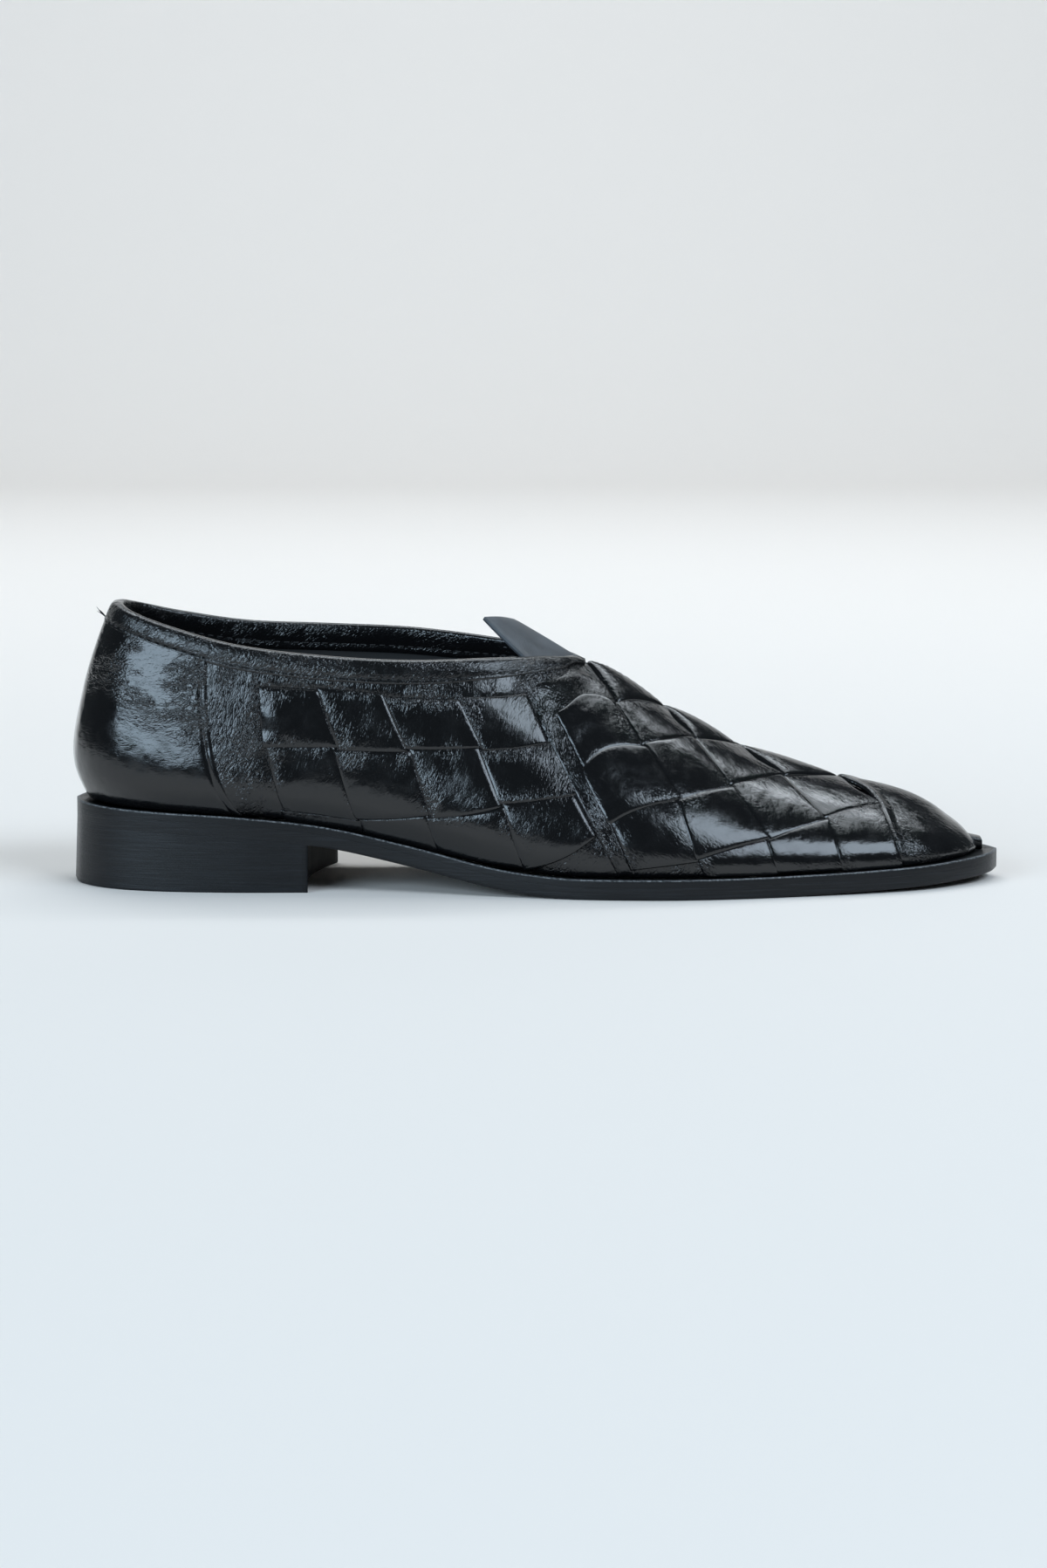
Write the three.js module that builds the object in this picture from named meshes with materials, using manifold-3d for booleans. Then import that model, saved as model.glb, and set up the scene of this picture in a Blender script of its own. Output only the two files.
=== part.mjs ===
// Woven leather slip-on shoe for the right foot: long pointed toe, V throat, low stacked heel.
// Millimetres, +Z up, +X towards the toe, the outer side of the foot on -Y, the floor at z = 0.
// While it is made the back of the sole is at x = 0; the group then moves it to its middle.

import * as THREE from 'three';
import { mergeVertices } from 'three/addons/utils/BufferGeometryUtils.js';
import Module from 'manifold-3d';

const wasm = await Module();
wasm.setup();

// Driving sizes
const soleLength = 275;
const ballWidth = 92;
const heelHeight = 18.5;
const toeSpring = 2.6;
const outsoleThickness = 3.4;
const weltThickness = 2.3;
const weltWidth = 9;
const weltShow = 3;
const upperHeight = 58;
const upperWall = 1.8;
const upperBulge = 4;
const stripRise = 1.1;
const insoleThickness = 2.4;
const seatGap = 0.3;
const heelBreast = 73.4;
const heelBreastSkew = 6;
const heelBreastHollow = 4;
const heelFlare = 0.7;
const bandHeight = 6.6;
const bandThickness = 0.8;
const counterThickness = 0.7;
const tabThickness = 1.4;
const gapWidth = 2.2;
const ridgeArch = 1.3;

// Sections of the shoe from the back of the heel to the tip of the toe.
// x, topX: shares of soleLength, the first for the sole's edge and the foot of the upper, the
// second for the topline or, from the throat on, the ridge of the vamp.
// outer, inner, topOuter, topInner: shares of ballWidth across, outer side negative.
// heelRise, toeRise: the sole's underside, shares of heelHeight and toeSpring.
// show: how much of the welt shows, share of weltShow.
// topRise, topTilt: topline or ridge above the welt, shares of upperHeight, and how much higher
// the inner side is than that, and the outer side lower.
// turn: way the wall faces in plan, degrees from the toe, 180 at the back.
// footOut, topOut: fullness at the foot and top of the wall, shares of upperBulge.
// footUp, topDown: where that fullness lies, shares of the wall's own height.
const sectionColumns = [
  'x', 'outer', 'inner', 'heelRise', 'toeRise', 'show', 'topX', 'topOuter', 'topInner',
  'topRise', 'topTilt', 'turn', 'footOut', 'footUp', 'topOut', 'topDown',
];
const sections = [
  [0.000, 0.000, 0.000, 1.000, 0.00, 1.50, 0.045, 0.000, 0.000, 0.996, 0.000, 180, 1.83, 0.26, 2.25, 0.35],
  [0.011, -0.130, 0.130, 0.995, 0.00, 1.50, 0.048, -0.073, 0.073, 0.994, 0.000, 150, 1.83, 0.26, 2.10, 0.35],
  [0.044, -0.240, 0.240, 0.968, 0.00, 1.47, 0.065, -0.158, 0.158, 0.974, 0.003, 125, 1.80, 0.23, 1.75, 0.38],
  [0.098, -0.305, 0.310, 0.930, 0.00, 1.40, 0.108, -0.228, 0.228, 0.928, 0.010, 103, 1.75, 0.17, 1.40, 0.44],
  [0.182, -0.332, 0.332, 0.865, 0.00, 1.20, 0.182, -0.277, 0.277, 0.876, 0.026, 92, 1.70, 0.16, 1.20, 0.46],
  [0.273, -0.330, 0.304, 0.714, 0.00, 1.20, 0.273, -0.293, 0.293, 0.889, 0.042, 90, 1.75, 0.17, 1.20, 0.46],
  [0.364, -0.355, 0.272, 0.427, 0.00, 1.20, 0.364, -0.290, 0.283, 0.959, 0.044, 90, 1.85, 0.19, 1.55, 0.42],
  [0.455, -0.425, 0.293, 0.124, 0.00, 1.20, 0.455, -0.240, 0.225, 1.035, 0.019, 90, 1.65, 0.22, 2.15, 0.31],
  [0.527, -0.475, 0.359, 0.008, 0.00, 1.20, 0.520, -0.120, 0.105, 1.045, 0.003, 90, 1.40, 0.27, 3.00, 0.15],
  [0.582, -0.497, 0.418, 0.000, 0.00, 1.20, 0.553, 0.000, 0.000, 1.000, 0.000, 90, 1.25, 0.36, 4.60, 0.06],
  [0.647, -0.500, 0.478, 0.000, 0.00, 1.20, 0.637, 0.005, 0.005, 0.765, 0.000, 90, 1.10, 0.40, 5.20, 0.06],
  [0.713, -0.472, 0.500, 0.000, 0.04, 1.20, 0.713, 0.016, 0.016, 0.572, 0.000, 90, 0.95, 0.41, 5.00, 0.07],
  [0.778, -0.425, 0.470, 0.000, 0.12, 1.20, 0.778, 0.026, 0.026, 0.452, 0.000, 89, 0.85, 0.42, 4.50, 0.08],
  [0.844, -0.372, 0.402, 0.000, 0.28, 1.20, 0.844, 0.032, 0.032, 0.366, 0.000, 87, 0.75, 0.42, 3.80, 0.08],
  [0.909, -0.300, 0.320, 0.000, 0.52, 1.25, 0.909, 0.038, 0.038, 0.262, 0.000, 80, 0.60, 0.45, 2.80, 0.08],
  [0.960, -0.190, 0.218, 0.000, 0.78, 1.45, 0.949, 0.036, 0.036, 0.150, 0.000, 60, 0.40, 0.48, 1.40, 0.08],
  [0.988, -0.088, 0.118, 0.000, 0.93, 1.80, 0.965, 0.028, 0.028, 0.073, 0.000, 32, 0.20, 0.50, 0.60, 0.10],
  [1.000, 0.018, 0.018, 0.000, 1.00, 2.00, 0.970, 0.022, 0.022, 0.052, 0.000, 0, 0.10, 0.50, 0.15, 0.10],
];
const lastSection = sections.length - 1;
const topline = ['topOuter', 'topInner'].map((name) => sectionColumns.indexOf(name));
const throatSection = sections.findIndex((row, s) => s > 0 && row[topline[0]] === row[topline[1]]);
const stepsPerSection = 3;

// Value of one column at a place between sections, on a smooth curve through them
function column(name, s) {
  const c = sectionColumns.indexOf(name);
  const i = Math.min(Math.floor(s), lastSection - 1);
  const t = s - i;
  const row = (k) => sections[Math.min(Math.max(k, 0), lastSection)][c];
  const [p0, p1, p2, p3] = [row(i - 1), row(i), row(i + 1), row(i + 2)];
  const m1 = (p2 - p0) / 2;
  const m2 = (p3 - p1) / 2;
  const t2 = t * t;
  const t3 = t2 * t;
  return (2 * t3 - 3 * t2 + 1) * p1 + (t3 - 2 * t2 + t) * m1 + (3 * t2 - 2 * t3) * p2 + (t3 - t2) * m2;
}

// Place between sections where the sole's edge has a given share of the length
function sectionAt(share) {
  let low = 0;
  let high = lastSection;
  for (let step = 0; step < 40; step += 1) {
    const middle = (low + high) / 2;
    if (column('x', middle) < share) {
      low = middle;
    } else {
      high = middle;
    }
  }
  return (low + high) / 2;
}

// Underside of the sole: flat on the floor under the ball, up to the heel and to the toe
function soleBottom(s) {
  const rise = heelHeight * column('heelRise', s) + toeSpring * column('toeRise', s);
  return Math.max(rise, 0);
}

const soleDepth = outsoleThickness + seatGap + weltThickness;
const weltTop = (s) => soleBottom(s) + soleDepth;

// Edge of the sole in plan, moved in by a given amount
function soleEdge(side, s, inset) {
  const turn = THREE.MathUtils.degToRad(column('turn', s));
  const x = column('x', s) * soleLength - Math.cos(turn) * inset;
  const y = column(side < 0 ? 'outer' : 'inner', s) * ballWidth - side * Math.sin(turn) * inset;
  return new THREE.Vector2(x, y);
}

// Point on the last: side -1 outer or 1 inner, v from the foot of the wall (0) to the topline
// or ridge (1), inset from the outside of the upper's wall
function wallPoint(side, s, v, inset) {
  const turn = THREE.MathUtils.degToRad(column('turn', s));
  const out = new THREE.Vector3(Math.cos(turn), side * Math.sin(turn), 0);
  const up = new THREE.Vector3(0, 0, 1);
  const edge = soleEdge(side, s, weltShow * column('show', s) + inset);
  const base = weltTop(s) + seatGap;
  const rise = column('topRise', s) + side * column('topTilt', s);
  const height = upperHeight * rise - seatGap;
  const collar = THREE.MathUtils.clamp(throatSection - s, 0, 1);
  const foot = new THREE.Vector3(edge.x, edge.y, base);
  const top = new THREE.Vector3(
    column('topX', s) * soleLength,
    column(side < 0 ? 'topOuter' : 'topInner', s) * ballWidth,
    base + height,
  );
  top.addScaledVector(out, -inset * collar).addScaledVector(up, -inset * (1 - collar));
  const low = foot.clone().addScaledVector(out, upperBulge * column('footOut', s));
  low.addScaledVector(up, height * column('footUp', s));
  const high = top.clone().addScaledVector(out, upperBulge * column('topOut', s));
  high.addScaledVector(up, -height * column('topDown', s));
  return new THREE.CubicBezierCurve3(foot, low, high, top).getPoint(v);
}

// The same point for places past an end: past the heel or toe, or over the ridge, is the other side
function lastPoint(side, s, v, inset = 0) {
  if (s < 0) {
    return lastPoint(-side, -s, v, inset);
  }
  if (s > lastSection) {
    return lastPoint(-side, 2 * lastSection - s, v, inset);
  }
  if (v > 1) {
    return s < throatSection ? wallPoint(side, s, 1, inset) : wallPoint(-side, s, 2 - v, inset);
  }
  return wallPoint(side, s, Math.max(v, 0), inset);
}

// Point raised from that surface along its normal
function raisedPoint(side, s, v, rise) {
  const step = 0.02;
  const along = lastPoint(side, s + step, v).sub(lastPoint(side, s - step, v));
  const across = lastPoint(side, s, v + step).sub(lastPoint(side, s, v - step));
  const normal = along.cross(across).normalize();
  return lastPoint(side, s, v).addScaledVector(normal, -side * rise);
}

// Closed mesh from a box-like grid: corner(i, j, k) for i in 0..ni, j in 0..nj, k in 0..1
function closedBox(corner, ni, nj) {
  const positions = [];
  const quad = (a, b, c, d) => {
    for (const p of [a, b, c, a, c, d]) {
      positions.push(p.x, p.y, p.z);
    }
  };
  for (let i = 0; i < ni; i += 1) {
    for (let j = 0; j < nj; j += 1) {
      quad(corner(i, j, 1), corner(i + 1, j, 1), corner(i + 1, j + 1, 1), corner(i, j + 1, 1));
      quad(corner(i, j, 0), corner(i, j + 1, 0), corner(i + 1, j + 1, 0), corner(i + 1, j, 0));
    }
  }
  for (let i = 0; i < ni; i += 1) {
    quad(corner(i, 0, 0), corner(i + 1, 0, 0), corner(i + 1, 0, 1), corner(i, 0, 1));
    quad(corner(i + 1, nj, 0), corner(i, nj, 0), corner(i, nj, 1), corner(i + 1, nj, 1));
  }
  for (let j = 0; j < nj; j += 1) {
    quad(corner(0, j + 1, 0), corner(0, j, 0), corner(0, j, 1), corner(0, j + 1, 1));
    quad(corner(ni, j, 0), corner(ni, j + 1, 0), corner(ni, j + 1, 1), corner(ni, j, 1));
  }
  return closedGeometry(positions);
}

// Merged, closed geometry from loose triangles, without the ones that have no area
function closedGeometry(positions) {
  const loose = new THREE.BufferGeometry();
  loose.setAttribute('position', new THREE.Float32BufferAttribute(positions, 3));
  const merged = mergeVertices(loose, 1e-3);
  const index = merged.getIndex().array;
  const kept = [];
  for (let i = 0; i < index.length; i += 3) {
    const [a, b, c] = [index[i], index[i + 1], index[i + 2]];
    if (a !== b && b !== c && c !== a) {
      kept.push(a, b, c);
    }
  }
  merged.setIndex(kept);
  return merged;
}

function toSolid(geometry) {
  const vertProperties = new Float32Array(geometry.getAttribute('position').array);
  const triVerts = new Uint32Array(geometry.getIndex().array);
  return new wasm.Manifold(new wasm.Mesh({ numProp: 3, vertProperties, triVerts }));
}

function toGeometry(solid) {
  const mesh = solid.getMesh();
  const geometry = new THREE.BufferGeometry();
  geometry.setAttribute('position', new THREE.Float32BufferAttribute(mesh.vertProperties, 3));
  geometry.setIndex(new THREE.Uint32BufferAttribute(mesh.triVerts, 1));
  return geometry;
}

// Plate across the whole sole, moved in from its edge, between two heights
function soleplate(inset, bottom, top, start, end, across) {
  const steps = Math.round((end - start) * stepsPerSection);
  const corner = (i, j, k) => {
    const s = start + ((end - start) * i) / steps;
    const share = j / across;
    const edge = soleEdge(-1, s, inset).lerp(soleEdge(1, s, inset), share);
    return new THREE.Vector3(edge.x, edge.y, k === 1 ? top(s) : bottom(s));
  };
  return closedBox(corner, steps, across);
}

function makeOutsole() {
  return soleplate(0, soleBottom, (s) => soleBottom(s) + outsoleThickness, 0, lastSection, 1);
}

// Welt: a strip that runs all round on the outsole
function makeWelt() {
  const around = lastSection * 2 * stepsPerSection;
  const positions = [];
  const ring = (n, k) => {
    const turn = ((n % around) + around) % around;
    const s = Math.min(turn, around - turn) / stepsPerSection;
    const side = turn <= around / 2 ? -1 : 1;
    const inset = k === 1 || k === 2 ? weltWidth : 0;
    const edge = soleEdge(side, s, inset);
    const low = soleBottom(s) + outsoleThickness + seatGap;
    return new THREE.Vector3(edge.x, edge.y, k < 2 ? low : low + weltThickness);
  };
  for (let n = 0; n < around; n += 1) {
    for (let k = 0; k < 4; k += 1) {
      const next = (k + 1) % 4;
      const [a, b, c, d] = [ring(n, k), ring(n, next), ring(n + 1, next), ring(n + 1, k)];
      for (const p of [a, b, c, a, c, d]) {
        positions.push(p.x, p.y, p.z);
      }
    }
  }
  return closedGeometry(positions);
}

// Heel: block under the seat, its breast hollow and further forward on the inner side
function makeHeel() {
  const along = 12;
  const across = 8;
  const corner = (i, j, k) => {
    const share = j / across;
    const hollow = heelBreastHollow * 4 * share * (1 - share);
    const breast = heelBreast + heelBreastSkew * (share - 0.5) - hollow;
    const ease = 1 - Math.cos((i / along) * Math.PI * 0.5);
    const s = sectionAt((breast * ease) / soleLength);
    const inset = k === 1 ? 0 : -heelFlare;
    const edge = soleEdge(-1, s, inset).lerp(soleEdge(1, s, inset), share);
    return new THREE.Vector3(edge.x, edge.y, k === 1 ? soleBottom(s) - seatGap : 0);
  };
  return closedBox(corner, along, across);
}

// Insole: board on the welt inside the upper, short of the toe, with a round front end
const insoleEnd = 0.93;
const insoleRoundStart = 0.85;
function makeInsole() {
  const end = sectionAt(insoleEnd);
  const steps = 30;
  const across = 2;
  const corner = (i, j, k) => {
    const s = (end * i) / steps;
    const inset = weltShow * column('show', s) + upperWall + 2 * seatGap;
    const ahead = Math.max(i / steps - insoleRoundStart, 0) / (1 - insoleRoundStart);
    const round = Math.sqrt(1 - Math.min(ahead, 1) ** 2);
    const outer = soleEdge(-1, s, inset);
    const inner = soleEdge(1, s, inset);
    const middle = outer.clone().lerp(inner, 0.5);
    const edge = middle.lerp(j / across < 0.5 ? outer : inner, Math.abs((2 * j) / across - 1) * round);
    const low = weltTop(s) + seatGap;
    return new THREE.Vector3(edge.x, edge.y, k === 1 ? low + insoleThickness : low);
  };
  return closedBox(corner, steps, across);
}

// Closed form of the last, moved in by inset, with its ends drawn past the foot and the topline
function lastForm(inset, below, above) {
  const steps = lastSection * stepsPerSection;
  const rows = 7;
  const positions = [];
  const point = (side, i, j) => {
    const s = (i * lastSection) / steps;
    const p = wallPoint(side, s, Math.min(Math.max(j, 0), rows) / rows, inset);
    if (j < 0) {
      p.z -= below;
    }
    if (j > rows && s < throatSection) {
      p.z += above;
    }
    return p;
  };
  const quad = (side, a, b, c, d) => {
    const order = side < 0 ? [a, b, c, a, c, d] : [a, c, b, a, d, c];
    for (const p of order) {
      positions.push(p.x, p.y, p.z);
    }
  };
  const first = below > 0 ? -1 : 0;
  const last = above > 0 ? rows + 1 : rows;
  for (let i = 0; i < steps; i += 1) {
    for (const side of [-1, 1]) {
      for (let j = first; j < last; j += 1) {
        const [a, b] = [point(side, i, j), point(side, i + 1, j)];
        const [c, d] = [point(side, i + 1, j + 1), point(side, i, j + 1)];
        quad(side, a, b, c, d);
      }
    }
    quad(-1, point(-1, i, last), point(-1, i + 1, last), point(1, i + 1, last), point(1, i, last));
    quad(1, point(-1, i, first), point(-1, i + 1, first), point(1, i + 1, first), point(1, i, first));
  }
  return toSolid(closedGeometry(positions));
}

// Slab that follows the upper's surface on one side between four corners given as [x, v], where
// x is the sole's share of length and v runs from the foot (0) over the ridge (1). Its height over
// the surface is high(p, q), p from the first corner to the second, q on to the third.
function surfaceSlab(side, corners, low, high, along, across) {
  const [a, b, c, d] = corners;
  const place = (k, p, q) => (a[k] * (1 - p) + b[k] * p) * (1 - q) + (d[k] * (1 - p) + c[k] * p) * q;
  const corner = (i, j, k) => {
    const [p, q] = [i / along, j / across];
    const s = sectionAt(place(0, p, q));
    return raisedPoint(side, s, place(1, p, q), k === 1 ? high(p, q) : low);
  };
  return toSolid(closedBox(corner, along, across));
}

// Vamp weave. Rows are the lines that climb from the outer foot towards the ridge, columns the
// lines that fall from the ridge to the outer foot, the first column being the one before the
// throat. Each crossing is [x, v]; v 1 is on the ridge. The inner side is the same net swapped.
const vampLines = [
  [null, [0.582, 1]],
  [[0.524, 0.68], [0.604, 0.76], [0.645, 1]],
  [[0.555, 0.44], [0.623, 0.59], [0.672, 0.81], [0.716, 1]],
  [[0.580, 0.22], [0.651, 0.39], [0.706, 0.57], [0.763, 0.80], [0.825, 1]],
  [[0.597, 0.04], [0.668, 0.10], [0.742, 0.26], [0.806, 0.46], [0.867, 0.68], [0.930, 1]],
  [null, [0.675, 0.02], [0.753, 0.02], [0.820, 0.02], [0.889, 0.02], [0.945, 0.02]],
];

// Quarter weave. Rows run from the line under the collar band down to the foot, columns from the
// back panel to the vamp. Each crossing is [x, v].
const quarterLines = [
  [[0.208, 0.85], [0.266, 0.86], [0.338, 0.855], [0.413, 0.835], [0.491, 0.805]],
  [[0.213, 0.54], [0.287, 0.58], [0.363, 0.605], [0.439, 0.605], [0.513, 0.58]],
  [[0.230, 0.14], [0.311, 0.15], [0.386, 0.26], [0.462, 0.35], [0.543, 0.35]],
  [[0.236, 0.02], [0.315, 0.02], [0.398, 0.02], [0.484, 0.03], [0.563, 0.18]],
];

// Gaps left between strips beside the ridge, from and to as [x, v]
const weaveGaps = [
  [[0.838, 0.95], [0.864, 0.76]],
  [[0.655, 0.95], [0.668, 0.86]],
  [[0.728, 0.95], [0.752, 0.86]],
];

// A strip on top stands stripRise proud and dips at the two ends where it goes under. Over the
// ridge it arches by ridgeArch more.
const dip = 0.15;
const rootDepth = upperWall * 0.45;
const edgeLap = 0.04;
const lowestCorner = 0.01;
const toeLine = 3;
const toeCapEnd = 0.975;
const ridgeLap = 0.02;

function stripHeight(place) {
  return stripRise * (dip + (1 - dip) * (1 - (2 * place - 1) ** 4));
}

// One cell of the weave as a slab, a little wider than the cell where its edges show
function weaveCell(side, corners, runsAlong, across, arch = 0) {
  const [a, b, c, d] = corners;
  const grow = (from, away) => [
    from[0] + (from[0] - away[0]) * edgeLap,
    Math.max(from[1] + (from[1] - away[1]) * edgeLap, lowestCorner),
  ];
  const wide = runsAlong
    ? [grow(a, d), grow(b, c), grow(c, b), grow(d, a)]
    : [grow(a, b), grow(b, a), grow(c, d), grow(d, c)];
  const high = (p, q) => stripHeight(runsAlong ? p : q) + arch * 16 * p * (1 - p) * q * (1 - q);
  const steps = runsAlong ? [3, across] : [across, 3];
  return surfaceSlab(side, wide, -rootDepth, high, ...steps);
}

// Crossing of a falling and a climbing line, v over 1 on the inner side
function vampCorner(fall, climb) {
  const row = vampLines[Math.max(fall, climb)];
  const found = row && row[Math.min(fall, climb) + 1];
  if (!found) {
    return null;
  }
  return climb >= fall ? found : [found[0], 2 - found[1]];
}

function vampCells() {
  const cells = [];
  for (let fall = -1; fall < vampLines.length - 1; fall += 1) {
    for (let climb = -1; climb < vampLines.length - 1; climb += 1) {
      const corners = [
        vampCorner(fall, climb + 1), vampCorner(fall + 1, climb + 1),
        vampCorner(fall + 1, climb), vampCorner(fall, climb),
      ];
      if (Math.min(fall, climb) < toeLine && corners.every((corner) => corner !== null)) {
        const climbsOnTop = (fall - climb) % 2 === 0;
        const isInner = corners.every(([, v]) => v >= 1);
        const own = isInner ? corners.map(([x, v]) => [x, 2 - v]) : corners;
        cells.push(weaveCell(isInner ? 1 : -1, own, climbsOnTop, 2, fall === climb ? ridgeArch : 0));
      }
    }
  }
  return cells;
}

// Toe cap: the last strips as one smooth piece in front of the toe line, up to near the tip
function toeCap() {
  const edge = [vampCorner(toeLine, toeLine + 2), vampCorner(toeLine, toeLine + 1), vampCorner(toeLine, toeLine)];
  const high = (p) => stripRise * (1 - 0.6 * p ** 2);
  const slabs = [];
  for (let k = 0; k < 2; k += 1) {
    const [low, top] = [edge[k], edge[k + 1]];
    const over = k === 1 ? ridgeLap : 0;
    const near = [[low[0], low[1]], [toeCapEnd, low[1]], [toeCapEnd, top[1] + over], [top[0], top[1] + over]];
    slabs.push(surfaceSlab(-1, near, -rootDepth, high, 3, 2));
    const far = near.map(([x, v]) => [x, v]);
    slabs.push(surfaceSlab(1, [far[3], far[2], far[1], far[0]], -rootDepth, high, 3, 2));
  }
  return slabs;
}

function quarterCells() {
  const cells = [];
  for (let row = 0; row < quarterLines.length - 1; row += 1) {
    for (let col = 0; col < quarterLines[row].length - 1; col += 1) {
      const high = [quarterLines[row][col], quarterLines[row][col + 1]];
      const low = [quarterLines[row + 1][col], quarterLines[row + 1][col + 1]];
      const levelOnTop = (row + col) % 2 === 1;
      cells.push(weaveCell(-1, [low[0], low[1], high[1], high[0]], levelOnTop, 1));
      cells.push(weaveCell(1, [high[0], high[1], low[1], low[0]], levelOnTop, 1));
    }
  }
  return cells;
}

function gapCutters() {
  const reach = upperWall * 2;
  const wide = gapWidth / soleLength;
  const cutters = [];
  for (const [from, to] of weaveGaps) {
    const far = [to[0] + wide, to[1]];
    const near = [from[0] + wide, from[1]];
    const height = () => reach;
    cutters.push(surfaceSlab(-1, [to, far, near, from], -reach, height, 1, 2));
    cutters.push(surfaceSlab(1, [from, near, far, to], -reach, height, 1, 2));
  }
  return cutters;
}

// Share of the wall's height that lies a given distance down from the topline
function belowTopline(side, s, distance) {
  const top = wallPoint(side, s, 1, 0);
  let low = 0;
  let high = 1;
  for (let step = 0; step < 30; step += 1) {
    const middle = (low + high) / 2;
    if (wallPoint(side, s, middle, 0).distanceTo(top) > distance) {
      low = middle;
    } else {
      high = middle;
    }
  }
  return (low + high) / 2;
}

// Overlay on the upper that runs round the back from inner to outer side. place(side, t, q) gives
// the section and the share of the wall's height, t from 0 at the back to 1 at the front end and
// q from the lower edge to the upper.
function overlayRound(place, thickness, around, across) {
  const corner = (i, j, k) => {
    const t = (2 * i) / around - 1;
    const side = t < 0 ? 1 : -1;
    const [s, v] = place(side, Math.abs(t), j / across);
    return raisedPoint(side, s, v, k === 1 ? seatGap + thickness : seatGap);
  };
  return closedBox(corner, around, across);
}

const bandEnd = throatSection - 1 / stepsPerSection;
function makeCollarBand() {
  const place = (side, t, q) => {
    const s = bandEnd * t;
    const low = belowTopline(side, s, bandHeight);
    return [s, low + (1 - low) * q];
  };
  return overlayRound(place, bandThickness, 2 * bandEnd * stepsPerSection, 2);
}

// Counter: back panel from foot to collar band, its front seam leaning forward at the foot
const counterSeam = 0.146;
const counterSpread = 0.04;
const counterFoot = 0.03;
const counterSteps = 24;
const counterRows = 6;
function makeCounter() {
  const place = (side, t, q) => {
    const s = sectionAt(counterSeam + counterSpread * (1 - q) ** 2) * t;
    const high = belowTopline(side, s, bandHeight + seatGap * 2);
    return [s, counterFoot + (high - counterFoot) * q];
  };
  return overlayRound(place, counterThickness, counterSteps, counterRows);
}

// Throat tab: cut end of a strip that rises from the throat over the opening. Its free corners
// are shares of soleLength, ballWidth and upperHeight, the last above the welt at the ball.
const tabCorners = [
  [0.442, -0.087, 1.247],
  [0.4735, 0.054, 1.217],
];
const rootShare = 0.8;
const tabRoots = [
  { s: 7.5, v: 0.97 },
  { s: 9.2, v: 1 },
];
function makeThroatTab() {
  const free = tabCorners.map(([x, y, z]) => new THREE.Vector3(
    x * soleLength, y * ballWidth, soleDepth + z * upperHeight,
  ));
  const roots = tabRoots.map(({ s, v }) => wallPoint(-1, s, v, upperWall * rootShare));
  const normal = free[1].clone().sub(free[0]).cross(roots[0].clone().sub(free[0])).normalize();
  if (normal.z < 0) {
    normal.negate();
  }
  const corner = (i, j, k) => {
    const low = roots[0].clone().lerp(roots[1], i / 2);
    const high = free[0].clone().lerp(free[1], i / 2);
    const middle = low.lerp(high, j / 3);
    return middle.addScaledVector(normal, (k - 0.5) * tabThickness);
  };
  return toSolid(closedBox(corner, 2, 3));
}

// The body itself, without slivers that a join or cut leaves where faces nearly meet
function largestBody(solid) {
  return solid.decompose().reduce((kept, body) => (body.volume() > kept.volume() ? body : kept));
}

// Upper: one wall between two forms of the last, its strips raised, the throat tab joined on. The
// inner form reaches past the wall's open foot and topline.
const belowFoot = 4;
const aboveTopline = 30;
function makeUpper() {
  let solid = lastForm(0, 0, 0);
  for (const cell of [...vampCells(), ...toeCap(), ...quarterCells()]) {
    solid = solid.add(cell);
  }
  solid = solid.subtract(lastForm(upperWall, belowFoot, aboveTopline)).add(makeThroatTab());
  for (const cutter of gapCutters()) {
    solid = solid.subtract(cutter);
  }
  return toGeometry(largestBody(solid));
}

const leather = { color: 0x0b0b0c, roughness: 0.25, metalness: 0 };
const soleLeather = { color: 0x121314, roughness: 0.45, metalness: 0 };

function named(name, geometry, finish) {
  const mesh = new THREE.Mesh(geometry, new THREE.MeshStandardMaterial(finish));
  mesh.name = name;
  return mesh;
}

const shoe = new THREE.Group();
shoe.add(
  named('outsole', makeOutsole(), soleLeather),
  named('welt', makeWelt(), soleLeather),
  named('heel', makeHeel(), soleLeather),
  named('insole', makeInsole(), leather),
  named('upper', makeUpper(), leather),
  named('collar_band', makeCollarBand(), leather),
  named('counter', makeCounter(), leather),
);
shoe.position.x = (heelFlare - soleLength) / 2;

export default shoe;
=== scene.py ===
"""Woven leather slip-on for the right foot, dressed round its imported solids.

Metres, +Z up, +X towards the toe, the outer side of the foot on -Y, the floor at z = 0. The
surface functions repeat the shoe's own last from named sizes and one table of sections, so each
strip, panel and seam lies on the form that the solids have.
"""

import math

import bmesh
import bpy
import numpy as np
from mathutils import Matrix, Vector


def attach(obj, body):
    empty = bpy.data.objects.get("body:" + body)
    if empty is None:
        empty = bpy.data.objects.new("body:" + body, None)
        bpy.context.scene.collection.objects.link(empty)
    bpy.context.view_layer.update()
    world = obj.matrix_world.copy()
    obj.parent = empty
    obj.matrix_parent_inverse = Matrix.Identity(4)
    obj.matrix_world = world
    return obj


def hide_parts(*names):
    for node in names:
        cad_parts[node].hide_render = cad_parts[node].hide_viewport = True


bl_info = {
    "name": "Woven slip-on",
    "version": (1, 0, 0),
    "blender": (4, 5, 0),
    "location": "3D View > Sidebar > Slip-on",
    "description": "Builds a woven leather slip-on with welted sole and stacked heel",
    "category": "Add Mesh",
}

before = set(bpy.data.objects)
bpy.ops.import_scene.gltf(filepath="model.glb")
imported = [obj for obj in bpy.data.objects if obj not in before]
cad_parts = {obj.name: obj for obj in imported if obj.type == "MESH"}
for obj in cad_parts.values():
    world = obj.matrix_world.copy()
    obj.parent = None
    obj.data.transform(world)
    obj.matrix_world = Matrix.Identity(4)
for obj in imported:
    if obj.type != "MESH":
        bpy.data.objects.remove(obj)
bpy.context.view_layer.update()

MM = 0.001
BODY = "root"
GRAIN_SQUEEZE = 0.4

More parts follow.
